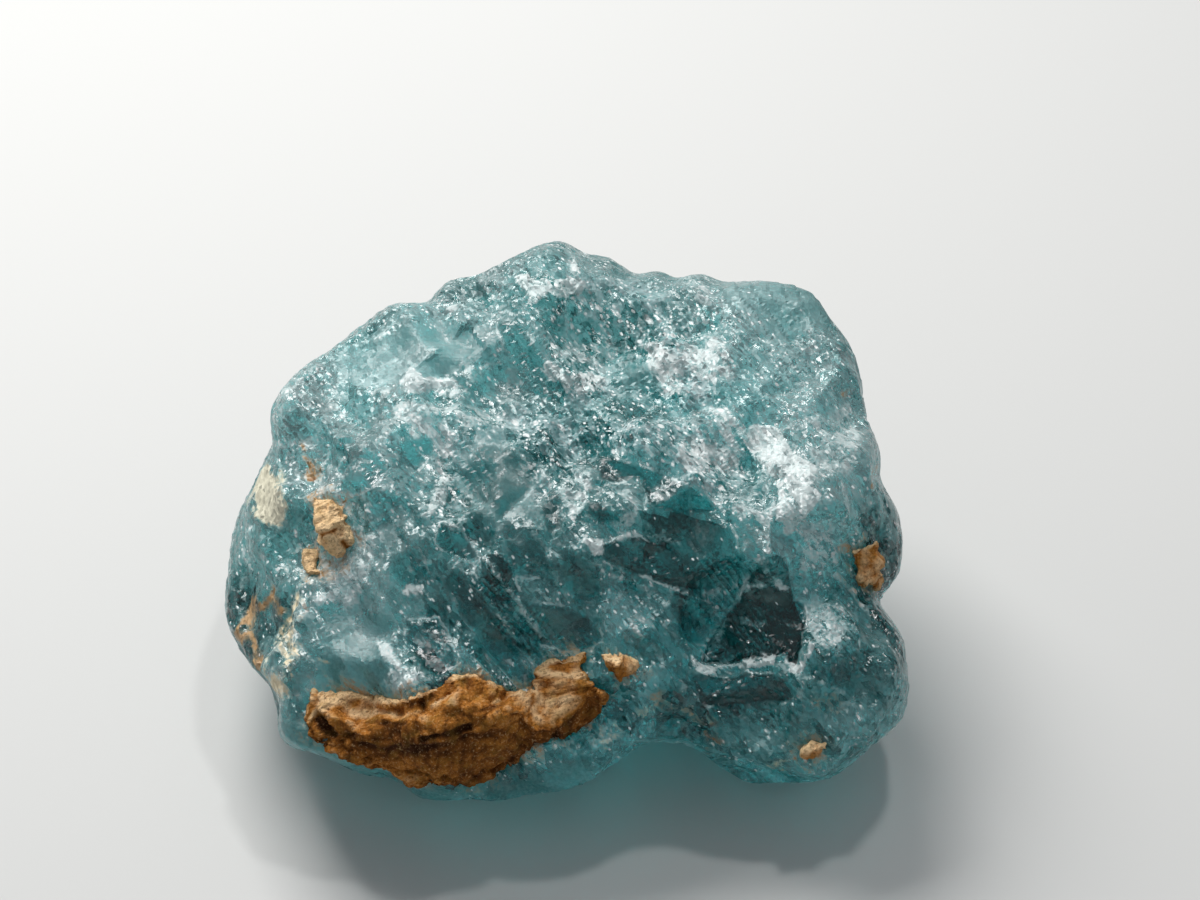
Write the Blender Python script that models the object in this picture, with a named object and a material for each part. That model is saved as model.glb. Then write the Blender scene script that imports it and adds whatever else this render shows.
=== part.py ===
"""A rough grandidierite crystal with the clay that still clings to it.

The crystal is one broken, weathered lump that rests on a small flat spot. Six
crusts of dried clay lie in shallow beds in its front. Sizes are in millimetres
and become metres where a mesh is made. +X runs along the stone's width, +Y
away from its front and +Z up.
"""

import math
import random

import bmesh
import bpy
import numpy as np
from mathutils import Vector, geometry
from mathutils.bvhtree import BVHTree

MM = 0.001
GAP = 0.3

# The front is given as seen by an eye at this height above the horizon and at
# this distance. u runs right and v up in the plane through CENTRE that faces
# the eye, and the eye stands before the point EYE_U, EYE_V of that plane.
FRONT_ELEVATION = math.radians(45.0)
EYE_DISTANCE = 121.5
EYE_U, EYE_V = 1.02, 2.55
CENTRE = np.array([0.27, 0.29, 7.4])
RIGHT = np.array([1.0, 0.0, 0.0])
UP = np.array([0.0, math.sin(FRONT_ELEVATION), math.cos(FRONT_ELEVATION)])
TOWARD = np.array([0.0, -math.cos(FRONT_ELEVATION), math.sin(FRONT_ELEVATION)])
EYE = CENTRE + EYE_U * RIGHT + EYE_V * UP + EYE_DISTANCE * TOWARD

# The stone's outline from the eye: degrees round from the right side, radius.
OUTLINE = [
    (0, 12.1), (8, 11.25), (12, 11.45), (18, 11.3), (24, 11.45), (30, 11.9),
    (38, 12.05), (43, 12.25), (50, 11.35), (58, 10.15), (62, 10.1), (67, 9.5),
    (70, 9.55), (76, 9.15), (82, 9.5), (88, 9.6), (94, 10.2), (100, 10.4),
    (109, 9.7), (118, 9.85), (122, 9.4), (130, 10.15), (138, 10.3), (146, 10.6),
    (151, 11.15), (160, 11.6), (165, 11.1), (172, 11.5), (180, 12.2), (189, 12.6),
    (197, 13.1), (204, 12.85), (208, 12.45), (212, 12.5), (217, 13.15),
    (223, 12.4), (230, 11.9), (235, 11.4), (241, 11.5), (250, 10.7), (255, 10.6),
    (262, 10.0), (270, 9.6), (279, 9.0), (287, 8.4), (294, 8.65), (300, 9.6),
    (303, 11.2), (308, 12.2), (315, 13.2), (324, 13.6), (330, 14.05),
    (336, 13.45), (341, 12.9), (344, 11.75), (352, 12.2),
]
OUTLINE_ROUNDING = 0.5

# The lump's broad sides: azimuth from the front, elevation, distance out.
SIDES = [
    (10, 82, 4.6),
    (-60, 60, 7.6),
    (60, 60, 7.9),
    (0, 46, 5.6),
    (-22, 30, 7.0),
    (24, 22, 7.6),
    (-62, 26, 9.9),
    (62, 22, 10.2),
    (-95, 10, 12.4),
    (95, 8, 12.4),
    (172, 12, 10.6),
    (-168, -8, 9.8),
    (138, 4, 11.6),
    (-132, 10, 11.4),
    (110, -24, 10.8),
    (0, -90, 7.55),
    (-70, -46, 10.7),
    (75, -50, 10.2),
    (165, -44, 8.8),
    (-150, -40, 9.3),
    (5, -58, 9.1),
]
SIDE_ROUNDING = 0.35

# Rounded swellings that stand out of the sides: x, y, z from CENTRE, radius.
SWELLINGS = [
    (-1.6, 7.1, 2.6, 3.8),
    (-5.0, 5.7, 2.0, 3.7),
    (3.0, 6.5, 2.0, 3.5),
    (6.7, 5.7, 1.6, 4.1),
    (-7.6, 4.1, 1.2, 3.7),
    (-10.2, 0.5, -1.2, 2.5),
    (-9.9, -2.0, -2.3, 3.0),
    (9.8, -0.9, -0.8, 2.4),
    (8.3, -5.4, -3.0, 4.1),
    (-7.8, -5.7, -3.0, 4.0),
    (-3.6, -6.5, -2.8, 3.9),
    (2.4, -0.9, 2.2, 2.6),
]
SWELLING_ROUNDING = 0.45

# Flat broken faces on the front: u, v, lean right, lean up, depth, reach.
FRONT_FACES = [
    (-6.6, 5.6, -24, 30, 0.5, 2.4),
    (-8.9, 3.2, -40, 8, 0.4, 1.6),
    (-3.6, 7.6, -22, 34, 0.4, 1.3),
    (-1.9, 4.9, -6, 22, 0.5, 1.3),
    (-3.6, 2.9, -18, 10, 0.3, 1.5),
    (7.2, 6.4, 18, 32, 0.4, 1.9),
    (9.6, 4.6, 42, 12, 0.3, 1.3),
    (5.6, 3.4, 12, 14, 0.3, 1.7),
    (2.6, 3.1, -4, 2, 0.3, 1.6),
    (3.0, 0.4, 16, -12, 0.7, 1.7),
    (3.1, -1.7, -6, -22, 0.6, 1.4),
    (-1.4, -3.0, 6, -16, 0.45, 2.2),
    (-4.4, -2.2, -18, -8, 0.35, 1.7),
    (-8.0, -0.8, -34, 0, 0.4, 1.7),
    (6.6, -3.4, -20, -16, 0.9, 1.4),
    (6.2, -6.3, 6, -40, 0.5, 1.2),
    (8.7, -1.6, 26, 4, 0.4, 1.5),
    (9.6, -5.6, 34, -14, 0.4, 1.5),
    (7.7, -8.2, 6, -48, 0.3, 1.2),
    (-11.3, -2.4, -54, -6, 0.3, 2.0),
    (-7.9, -5.2, -22, -24, 0.4, 1.8),
    (-1.6, -8.4, 2, -50, 0.3, 2.2),
    (0.9, -6.0, 4, -30, 0.3, 1.5),
]
FACE_FADE = 0.85

# Scooped hollows in the front: u, v, depth, radius of the scoop.
HOLLOWS = [
    (1.2, 6.7, 0.9, 3.2),
    (6.4, -4.4, 0.6, 2.2),
    (-0.4, 0.6, 0.35, 1.8),
    (-9.9, -0.2, 0.4, 2.0),
]

# Chips at random: how many, reach and depth from and to, and how far toward
# the eye their side faces, from 1 for straight at it to -1 for straight away.
CHIP_GROUPS = [
    (22, (2.0, 3.6), (0.5, 1.3), (-1.0, -0.45)),
    (70, (0.8, 2.0), (0.15, 0.5), (-1.0, -0.25)),
    (60, (0.5, 1.3), (0.10, 0.28), (0.3, 1.0)),
]
CHIP_TILT = 0.45
CHIP_LOWEST = -0.85
CHIP_SEED = 11

# Steps along the crystal's cleavage: their direction, spacing and height.
CLEAVAGE = np.array([0.72, -0.42, 0.55])
CLEAVAGE_SPACING = 1.7
CLEAVAGE_STEP = 0.2
# How far the steps wander and over what size, and how patchy they are and over
# what size.
CLEAVAGE_WANDER = (0.35, 2.6)
CLEAVAGE_PATCHES = (1.4, 4.0)
# Weathering: the size and the height of its unevenness. Within RIM_REACH of the
# outline it dwindles to the share RIM_SHARE, so the outline keeps its shape.
WEATHERING = [(3.1, 0.30), (1.3, 0.16), (0.7, 0.08)]
RIM_REACH = 1.5
RIM_SHARE = 0.2

# The crystal's mesh: a sphere drawn in to the surface, smoothed, then thinned.
SPHERE_SUBDIVISIONS = 7
SMOOTHING_PASSES = 2
CRYSTAL_TRIANGLES = 7800

# The surface is looked for from outside: how far before CENTRE the search
# starts, its length, its steps and the halvings after the step that meets it.
SEARCH_FROM_EYE = (13.0, 22.0)
SEARCH_INWARD = (19.0, 18.5)
SEARCH_STEPS = 70
SEARCH_HALVINGS = 12

# The clay crusts' outlines on the front, as u, v round their edges.
CLAY = {
    "clay_band": [
        (-9.95, -7.2), (-9.5, -6.05), (-8.25, -6.2), (-6.7, -6.5), (-5.4, -6.25),
        (-4.5, -5.8), (-3.4, -5.6), (-2.8, -6.0), (-1.7, -6.2), (-1.15, -5.95),
        (-1.2, -5.35), (-0.45, -5.0), (0.4, -4.7), (0.35, -5.5), (0.95, -6.25),
        (1.2, -6.55), (0.6, -7.55), (-0.2, -8.05), (-1.3, -8.2), (-2.5, -9.1),
        (-3.8, -9.7), (-4.5, -9.6), (-5.5, -9.55), (-6.1, -9.8), (-7.4, -9.1),
        (-8.6, -8.4), (-9.4, -8.05),
    ],
    "clay_lump_left": [
        (-9.3, 0.8), (-8.2, 0.55), (-7.8, -0.7), (-8.4, -1.45), (-8.95, -1.05),
        (-9.35, 0.2),
    ],
    "clay_spot_left_lower": [
        (-9.7, -1.15), (-9.3, -1.2), (-9.2, -1.7), (-8.95, -2.05), (-9.45, -2.1),
        (-9.7, -1.7),
    ],
    "clay_spot_front": [
        (0.85, -4.95), (1.7, -4.85), (2.45, -5.2), (2.1, -5.6), (1.75, -5.85),
        (1.2, -5.5),
    ],
    "clay_patch_right": [
        (10.15, -1.25), (11.0, -0.75), (11.2, -1.5), (11.15, -2.4), (10.5, -2.35),
        (10.2, -1.8),
    ],
    "clay_spot_right_low": [
        (8.4, -8.2), (8.7, -8.0), (9.25, -8.15), (9.3, -8.45), (8.9, -8.65),
        (8.5, -8.6),
    ],
}
# Each crust's spacing of points, thickness at its edge and inside, and bed depth.
CLAY_BUILD = {
    "clay_band": (0.5, 0.3, 1.0, 0.75),
    "clay_lump_left": (0.36, 0.35, 1.0, 0.3),
    "clay_spot_left_lower": (0.28, 0.3, 0.5, 0.25),
    "clay_spot_front": (0.36, 0.3, 0.75, 0.3),
    "clay_patch_right": (0.36, 0.3, 0.65, 0.3),
    "clay_spot_right_low": (0.28, 0.3, 0.5, 0.25),
}
# The clay's unevenness, as a share of its thickness, the size of its lumps, and
# how far in from its edge they reach their height.
CLAY_UNEVEN = 0.14
CLAY_LUMP = 0.9
CLAY_EVEN_EDGE = 0.5
# A crust reaches its full thickness at this share of the way in from its edge.
CLAY_SHOULDER = 0.6
# How much all of a crust thickens one way, rather than each point its own way.
CLAY_ONE_WAY = 1.5
# Clay keeps this far inside the stone's outline.
CLAY_RIM = 0.35
# Shares of a crust's spacing: its edge's raggedness, the shift of the points
# inside it, and how far inside the edge they begin.
EDGE_RAGGED = 0.12
INNER_SHIFT = 0.25
INNER_MARGIN = 0.6
# A bed begins this far outside its crust and slopes down over this width.
BED_MARGIN = 0.2
BED_SLOPE = 0.8
# Beds fade out towards the outline over this width, and lie in the front only,
# no farther behind CENTRE than FRONT_BACK.
BED_RIM_MARGIN = 0.2
BED_RIM_FADE = 1.2
FRONT_BACK = -1.0

COLOURS = {
    "crystal": (0.12, 0.30, 0.33),
    "clay": (0.36, 0.19, 0.09),
}
ROUGHNESS = {
    "crystal": 0.35,
    "clay": 0.9,
}


def unit(azimuth, elevation):
    """The direction at these degrees: azimuth 0 is the front, 90 the right."""
    a, e = math.radians(azimuth), math.radians(elevation)
    return np.array([math.sin(a) * math.cos(e), -math.cos(a) * math.cos(e), math.sin(e)])


def normalised(vectors):
    return vectors / np.linalg.norm(vectors, axis=-1, keepdims=True)


def ease(t):
    t = np.clip(t, 0, 1)
    return t * t * (3 - 2 * t)


def lattice_noise(points, size, seed):
    """Smooth noise from -1 to 1, with features of about this size."""
    at = points / size
    cell = np.floor(at).astype(np.int64)
    t = ease(at - cell)
    total = np.zeros(len(points))
    for corner in np.ndindex(2, 2, 2):
        i, j, k = (cell + corner).T
        mixed = (i * 73856093) ^ (j * 19349663) ^ (k * 83492791) ^ (seed * 2654435761)
        mixed = (mixed ^ (mixed >> 13)) * 1274126177 & 0xFFFFFFFF
        weight = np.prod(np.where(np.array(corner) == 1, t, 1 - t), axis=1)
        total += weight * (mixed / 0x7FFFFFFF - 1)
    return total


def outline_radius(angle):
    """The outline's radius at each angle, on a smooth closed curve."""
    degrees = np.array([a for a, _ in OUTLINE], float)
    radii = np.array([r for _, r in OUTLINE])
    degrees = np.concatenate([degrees[-3:] - 360, degrees, degrees[:3] + 360])
    radii = np.concatenate([radii[-3:], radii, radii[:3]])
    slopes = np.gradient(radii, degrees)
    at = np.degrees(angle) % 360
    i = np.clip(np.searchsorted(degrees, at, side="right") - 1, 0, len(degrees) - 2)
    span = degrees[i + 1] - degrees[i]
    t = (at - degrees[i]) / span
    rise = radii[i + 1] - radii[i]
    return (
        radii[i]
        + rise * (3 * t**2 - 2 * t**3)
        + slopes[i] * span * (t**3 - 2 * t**2 + t)
        + slopes[i + 1] * span * (t**3 - t**2)
    )


def front_coordinates(points):
    """Where the eye sees each point on the plane through CENTRE, and how far before it."""
    rel = points - CENTRE
    u, v, w = rel @ RIGHT, rel @ UP, rel @ TOWARD
    scale = EYE_DISTANCE / (EYE_DISTANCE - w)
    return EYE_U + (u - EYE_U) * scale, EYE_V + (v - EYE_V) * scale, w


def from_rim(u, v):
    """How far inside the outline each u, v lies."""
    return outline_radius(np.arctan2(v, u)) - np.hypot(u, v)


def smooth_most(values, rounding):
    """The largest of the values, with the creases between them rounded."""
    stack = np.stack(values)
    top = stack.max(axis=0)
    return top + rounding * np.log(np.exp((stack - top) / rounding).sum(axis=0))


def body_field(points):
    """About the distance outside the unbroken lump, and negative inside it."""
    rel = points - CENTRE
    body = smooth_most([rel @ unit(az, el) - d for az, el, d in SIDES], SIDE_ROUNDING)
    swellings = [np.linalg.norm(rel - (x, y, z), axis=1) - r for x, y, z, r in SWELLINGS]
    body = -smooth_most([-body] + [-s for s in swellings], SWELLING_ROUNDING)
    u, v, _ = front_coordinates(points)
    return smooth_most([body, -from_rim(u, v)], OUTLINE_ROUNDING)


def first_surface(field, starts, directions, length):
    """The first point of the field's surface on the way from each start."""
    stride = length / SEARCH_STEPS
    far = np.full(len(starts), length)
    searching = np.arange(len(starts))
    for step in np.arange(1, SEARCH_STEPS + 1) * stride:
        inside = field(starts[searching] + directions[searching] * step) < 0
        far[searching[inside]] = step
        searching = searching[~inside]
    near = far - stride
    for _ in range(SEARCH_HALVINGS):
        middle = (near + far) / 2
        inside = field(starts + directions * middle[:, None]) < 0
        far = np.where(inside, middle, far)
        near = np.where(inside, near, middle)
    return starts + directions * far[:, None]


def sight_lines(places):
    """The directions from the eye through these u, v."""
    targets = CENTRE + np.outer(places[:, 0], RIGHT) + np.outer(places[:, 1], UP)
    return normalised(targets - EYE)


def seen_points(field, places):
    """The points of the surface that the eye sees at these u, v."""
    directions = sight_lines(places)
    before, length = SEARCH_FROM_EYE
    return first_surface(field, EYE + directions * (EYE_DISTANCE - before), directions, length)


def outer_points(field, directions):
    """The outermost points of the surface in these directions from CENTRE."""
    before, length = SEARCH_INWARD
    return first_surface(field, CENTRE + directions * before, -directions, length)


def outward(field, points):
    """The surface's outward direction at each point."""
    step = 0.05
    slopes = [(field(points + axis * step) - field(points - axis * step)) for axis in np.eye(3)]
    return normalised(np.stack(slopes, axis=1))


def front_chips():
    """The front's flat faces, each as a point, the way it faces and its reach."""
    places = np.array([(u, v) for u, v, *_ in FRONT_FACES])
    chips = []
    for point, (_, _, right, up, depth, reach) in zip(seen_points(body_field, places), FRONT_FACES):
        lean = math.tan(math.radians(right)) * RIGHT + math.tan(math.radians(up)) * UP
        facing = normalised(TOWARD + lean)
        chips.append((point - facing * depth, facing, reach))
    return chips


def random_chips():
    """Small chips at random: on the hidden sides and, finer, on the front."""
    rng = random.Random(CHIP_SEED)
    chips = []
    for count, reach, depth, (least, most) in CHIP_GROUPS:
        directions = []
        while len(directions) < count:
            d = normalised(np.array([rng.gauss(0, 1) for _ in range(3)]))
            if least < d @ TOWARD < most and d[2] > CHIP_LOWEST:
                directions.append(d)
        points = outer_points(body_field, np.array(directions))
        for point, normal in zip(points, outward(body_field, points)):
            tilt = np.array([rng.uniform(-CHIP_TILT, CHIP_TILT) for _ in range(3)])
            facing = normalised(normal + tilt)
            chips.append((point - facing * rng.uniform(*depth), facing, rng.uniform(*reach)))
    return chips


def hollow_scoops():
    """The spheres that scoop out the front's hollows, as centre and radius."""
    places = np.array([(u, v) for u, v, *_ in HOLLOWS])
    points = seen_points(body_field, places)
    facing = outward(body_field, points)
    return [(p + n * (r - d), r) for p, n, (_, _, d, r) in zip(points, facing, HOLLOWS)]


def inside_distance(places, outline):
    """How far inside a closed outline each u, v lies, negative outside it."""
    corners = np.array(outline)
    nearest = np.full(len(places), 1e9)
    inside = np.zeros(len(places), bool)
    for a, b in zip(corners, np.roll(corners, -1, axis=0)):
        along = b - a
        t = np.clip((places - a) @ along / (along @ along), 0, 1)
        nearest = np.minimum(nearest, np.linalg.norm(places - a - t[:, None] * along, axis=1))
        crosses = (a[1] > places[:, 1]) != (b[1] > places[:, 1])
        with np.errstate(divide="ignore", invalid="ignore"):
            at = a[0] + (places[:, 1] - a[1]) * along[0] / along[1]
        inside ^= crosses & (places[:, 0] < at)
    return np.where(inside, nearest, -nearest)


def clay_beds(points):
    """How deep the beds under the clay are at each point."""
    u, v, w = front_coordinates(points)
    places = np.stack([u, v], axis=1)
    depth = np.zeros(len(points))
    for name, outline in CLAY.items():
        bed = CLAY_BUILD[name][3]
        inside = inside_distance(places, outline)
        depth = np.maximum(depth, bed * ease((inside + BED_MARGIN) / BED_SLOPE))
    fade = ease((from_rim(u, v) - BED_RIM_MARGIN) / BED_RIM_FADE)
    return np.where(w > FRONT_BACK, depth * fade, 0.0)


def weathering(points):
    """The height of the weathered surface's unevenness and cleavage steps."""
    points = points - CENTRE
    height = np.zeros(len(points))
    for seed, (size, rise) in enumerate(WEATHERING):
        height += rise * lattice_noise(points, size, seed)
    wander, wander_size = CLEAVAGE_WANDER
    along = points @ normalised(CLEAVAGE) / CLEAVAGE_SPACING
    along += wander * lattice_noise(points, wander_size, 7)
    contrast, patch_size = CLEAVAGE_PATCHES
    patches = ease(0.5 + contrast * lattice_noise(points, patch_size, 8))
    height += CLEAVAGE_STEP * patches * ((along % 1.0) - 0.5)
    return height


def broken_field(points, chips, scoops):
    """The field of the lump with its faces, chips and hollows broken out."""
    value = body_field(points)
    for centre, facing, reach in chips:
        rel = points - centre
        beyond = np.maximum(np.linalg.norm(rel, axis=1) - reach, 0)
        value = np.maximum(value, rel @ facing - FACE_FADE * beyond)
    for centre, radius in scoops:
        value = np.maximum(value, radius - np.linalg.norm(points - centre, axis=1))
    return value


def clear_scene():
    for obj in list(bpy.data.objects):
        bpy.data.objects.remove(obj)


def add_material(obj, name):
    """A plain material in the part's own colour."""
    material = bpy.data.materials.get(name) or bpy.data.materials.new(name)
    material.use_nodes = True
    shader = material.node_tree.nodes["Principled BSDF"]
    shader.inputs["Base Color"].default_value = (*COLOURS[name], 1.0)
    shader.inputs["Roughness"].default_value = ROUGHNESS[name]
    shader.inputs["Metallic"].default_value = 0.0
    obj.data.materials.append(material)


def put_in(collection, obj):
    for other in list(obj.users_collection):
        other.objects.unlink(obj)
    collection.objects.link(obj)


def crystal_field():
    """The whole crystal's field, with its chips and hollows worked out once."""
    chips = front_chips() + random_chips()
    scoops = hollow_scoops()
    return lambda points: broken_field(points, chips, scoops) + clay_beds(points)


def flatten_base(obj):
    """Cut the underside flat where the stone rests, at z = 0."""
    mesh = bmesh.new()
    mesh.from_mesh(obj.data)
    geom = mesh.verts[:] + mesh.edges[:] + mesh.faces[:]
    cut = bmesh.ops.bisect_plane(mesh, geom=geom, plane_no=(0, 0, -1), clear_outer=True)
    rim = [e for e in cut["geom_cut"] if isinstance(e, bmesh.types.BMEdge)]
    bmesh.ops.triangle_fill(mesh, edges=rim, use_beauty=True, normal=(0, 0, -1))
    bmesh.ops.triangulate(mesh, faces=[f for f in mesh.faces if len(f.verts) > 3])
    bmesh.ops.recalc_face_normals(mesh, faces=mesh.faces[:])
    mesh.to_mesh(obj.data)
    mesh.free()


def make_crystal(field):
    bpy.ops.mesh.primitive_ico_sphere_add(subdivisions=SPHERE_SUBDIVISIONS, radius=1.0)
    crystal = bpy.context.object
    crystal.name = "crystal"
    mesh = crystal.data
    directions = normalised(np.array([v.co[:] for v in mesh.vertices]))
    points = outer_points(field, directions)
    u, v, _ = front_coordinates(points)
    share = RIM_SHARE + (1 - RIM_SHARE) * ease(from_rim(u, v) / RIM_REACH)
    points += directions * (share * weathering(points))[:, None]
    mesh.vertices.foreach_set("co", (points * MM).ravel())
    mesh.update()
    soften = crystal.modifiers.new("worn_edges", "SMOOTH")
    soften.iterations = SMOOTHING_PASSES
    thin = crystal.modifiers.new("fewer_faces", "DECIMATE")
    thin.ratio = CRYSTAL_TRIANGLES / len(mesh.polygons)
    for modifier in (soften, thin):
        bpy.ops.object.modifier_apply(modifier=modifier.name)
    flatten_base(crystal)
    add_material(crystal, "crystal")
    return crystal


def clay_sheet(name):
    """Points and triangles of a crust's sheet, in u, v, with a ragged edge."""
    rng = random.Random(name)
    outline, spacing = CLAY[name], CLAY_BUILD[name][0]
    wobble = EDGE_RAGGED * spacing
    edge = []
    for a, b in zip(outline, outline[1:] + outline[:1]):
        parts = max(1, round(math.dist(a, b) / spacing))
        for i in range(parts):
            u = a[0] + (b[0] - a[0]) * i / parts + rng.uniform(-wobble, wobble)
            v = a[1] + (b[1] - a[1]) * i / parts + rng.uniform(-wobble, wobble)
            edge.append((u, v))
    us, vs = zip(*edge)
    shift = INNER_SHIFT * spacing
    inner = []
    for u in np.arange(min(us), max(us), spacing):
        for v in np.arange(min(vs), max(vs), spacing):
            inner.append((u + rng.uniform(-shift, shift), v + rng.uniform(-shift, shift)))
    inside = inside_distance(np.array(inner), edge)
    inner = [p for p, d in zip(inner, inside) if d > INNER_MARGIN * spacing]
    corners = [Vector(p) for p in edge + inner]
    loop = [list(range(len(edge)))]
    places, _, faces, *_ = geometry.delaunay_2d_cdt(corners, [], loop, 1, 1e-6)
    places = np.array([p[:] for p in places])
    reach = np.hypot(places[:, 0], places[:, 1])
    rim = outline_radius(np.arctan2(places[:, 1], places[:, 0])) - CLAY_RIM
    return places * np.minimum(1, rim / reach)[:, None], faces, edge


def make_clay(name, crystal, field):
    """One crust: a sheet just clear of its bed, thickened outward."""
    _, thin, thick, _ = CLAY_BUILD[name]
    places, faces, edge = clay_sheet(name)
    stone = BVHTree.FromObject(crystal, bpy.context.evaluated_depsgraph_get())
    hits = [stone.ray_cast(Vector(EYE * MM), Vector(line))[0] for line in sight_lines(places)]
    points = np.array([hit[:] for hit in hits]) / MM
    normals = outward(field, points)
    normals = normalised(normals + CLAY_ONE_WAY * normals.mean(axis=0))
    under = points + normals * GAP
    inside = inside_distance(places, edge)
    depth = thin + (thick - thin) * ease(inside / (CLAY_SHOULDER * inside.max()))
    lumps = lattice_noise(points - CENTRE, CLAY_LUMP, 5) * ease(inside / CLAY_EVEN_EDGE)
    depth += CLAY_UNEVEN * thick * lumps
    outer = under + normals * depth[:, None]

    mesh = bmesh.new()
    verts = [mesh.verts.new(p * MM) for p in under]
    for face in faces:
        mesh.faces.new([verts[i] for i in face])
    mesh.verts.index_update()
    raised = bmesh.ops.extrude_face_region(mesh, geom=mesh.faces[:], use_keep_orig=True)
    lookup = {tuple(v.co): i for i, v in enumerate(verts)}
    for v in raised["geom"]:
        if isinstance(v, bmesh.types.BMVert):
            v.co = Vector(outer[lookup[tuple(v.co)]] * MM)
    bmesh.ops.recalc_face_normals(mesh, faces=mesh.faces[:])
    data = bpy.data.meshes.new(name)
    mesh.to_mesh(data)
    mesh.free()
    crust = bpy.data.objects.new(name, data)
    add_material(crust, "clay")
    return crust


def build():
    clear_scene()
    parts = bpy.data.collections.new("grandidierite_crystal")
    bpy.context.scene.collection.children.link(parts)
    field = crystal_field()
    crystal = make_crystal(field)
    put_in(parts, crystal)
    for name in CLAY:
        put_in(parts, make_clay(name, crystal, field))


build()
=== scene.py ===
"""Looks of a rough grandidierite crystal: translucent teal, chipped all over, with clay left in its hollows.

Lengths are millimetres up to the mesh writers, which scale them to metres.
Marks are placed on the plane through the stone's middle, as seen from the camera: their outlines and paths
are lists of across, up, across, up and so on, in hundredths of a millimetre.
"""
import math

import bpy
import numpy as np
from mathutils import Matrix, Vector
from mathutils.bvhtree import BVHTree


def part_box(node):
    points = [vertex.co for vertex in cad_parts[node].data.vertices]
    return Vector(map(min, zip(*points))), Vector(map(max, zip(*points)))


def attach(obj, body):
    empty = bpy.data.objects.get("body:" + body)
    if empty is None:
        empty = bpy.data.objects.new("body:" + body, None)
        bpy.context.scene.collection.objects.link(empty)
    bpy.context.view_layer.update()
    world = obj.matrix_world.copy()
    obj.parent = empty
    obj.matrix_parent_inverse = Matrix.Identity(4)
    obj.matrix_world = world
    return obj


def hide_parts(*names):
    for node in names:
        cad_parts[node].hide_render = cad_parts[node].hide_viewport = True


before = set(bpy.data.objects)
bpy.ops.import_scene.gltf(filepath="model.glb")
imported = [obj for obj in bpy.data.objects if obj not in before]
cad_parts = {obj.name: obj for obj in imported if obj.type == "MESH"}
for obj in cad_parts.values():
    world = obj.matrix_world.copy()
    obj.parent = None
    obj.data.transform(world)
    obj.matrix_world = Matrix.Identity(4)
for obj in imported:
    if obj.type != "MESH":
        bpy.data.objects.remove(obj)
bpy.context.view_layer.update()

MM = 0.001
# Steps to a millimetre in outlines and paths
PER_MM = 100

# The view: the camera looks down at the stone from the front, 45 degrees above the floor
VIEW_ELEVATION = math.radians(45)
CENTRE = np.array((0.27, 0.29, 7.4))
EYE_ACROSS = 1.02
EYE_UP = 2.55
EYE_DISTANCE = 121.5
LENS_MM = 100
SENSOR_MM = 36
NEAREST = 1
FARTHEST = 10000
RIGHT = np.array((1.0, 0.0, 0.0))
UP = np.array((0.0, math.sin(VIEW_ELEVATION), math.cos(VIEW_ELEVATION)))
TOWARD = np.array((0.0, -math.cos(VIEW_ELEVATION), math.sin(VIEW_ELEVATION)))
EYE = CENTRE + EYE_ACROSS * RIGHT + EYE_UP * UP + EYE_DISTANCE * TOWARD

# How far round a point may be turned from the camera and still show its marks: from none to all of them
FRONT_FACING = (0.02, 0.18)

# Rows of random numbers, from which a whole-numbered cell and a salt pick one
HASH_SEED = 71
HASH_ROWS = 8192
HASHES = np.random.default_rng(HASH_SEED).random((HASH_ROWS, 6))
STRIDES = np.array((73, 1571, 4349))
SALT_STRIDE = 911

# From one octave of noise to the next: salt, ratio of sizes and shift of its grid
OCTAVE_SALT = 31
OCTAVE_RATIO = 2.03
OCTAVE_SHIFT = 17.3

# A cell's middle lies anywhere in it but for this margin
CELL_MARGIN = 0.1

# Noises: size, salt, octaves
NOISES = {
    "ragged": (0.7, 3, 3),
    "fray": (0.25, 9, 2),
    "broad": (6.0, 11, 2),
    "shade edge": (3.0, 19, 2),
    "veils": (4.0, 41, 3),
    "far frost": (1.2, 43, 2),
    "far window": (2.0, 47, 2),
    "far glitter": (5.0, 53, 2),
    "far smooth": (5.0, 59, 2),
    "step wander": (2.5, 61, 1),
    "step patches": (3.0, 67, 2),
    "grit": (0.28, 71, 1),
    "stain across": (0.7, 83, 3),
    "stain up": (0.7, 89, 3),
    "clay lumps": (0.9, 223, 3),
    "clay layers": (2.4, 227, 3),
    "groove edge": (0.4, 231, 3),
    "clay gone": (0.4, 233, 3),
}

# Fine meshes: size of a voxel, and how often and how much the copy of the CAD solid is smoothed
CRYSTAL_VOXEL = 0.143
CLAY_VOXEL = 0.085
SMOOTHING = 2
SOFTNESS = 0.5

# Splinters run down and to the right in the view, and cleavage steps and striated layers cross them
SPLINTER = np.array((0.64, -0.54, -0.54))
CLEAVAGE = np.array((0.77, 0.45, 0.45))
CLEAVAGE_AXES = np.array((CLEAVAGE, np.cross(SPLINTER, CLEAVAGE), SPLINTER))
STRIA_SPACING = 0.2

# Chips: size of a chip, height of its ridges, how far splinters stretch it, share of it that is there, what
# rough ground adds to that, and the share that calm ground takes off
CHIPS = (
    (2.6, 0.8, 1.5, 1.0, 0.0, 0.3),
    (1.15, 0.4, 1.8, 1.0, 0.0, 0.75),
    (0.5, 0.18, 1.6, 0.45, 0.75, 0.9),
)
CHIP_LEAN = 0.9
CHIP_SALT = 101

# Cleavage steps: from one to the next, how far they wander, height, where their patches start and are full,
# and how much higher striated ground has them
STEP_SPACING = 0.42
STEP_WANDER = 0.8
STEP_HEIGHT = 0.05
STEP_PATCHES = (0.0, 0.4)
STEP_STRIATED = 1.6

# Height of the grit on glittering and frosted ground
GRIT_HEIGHT = 0.02

# Windows lie a little under the ground around them, with the upper edge out, and frosted plates stand over it
WINDOW_SINK = 0.05
WINDOW_SLOPE = 0.25
SHELF_REACH = 0.8
FROST_RISE = 0.05
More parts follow.
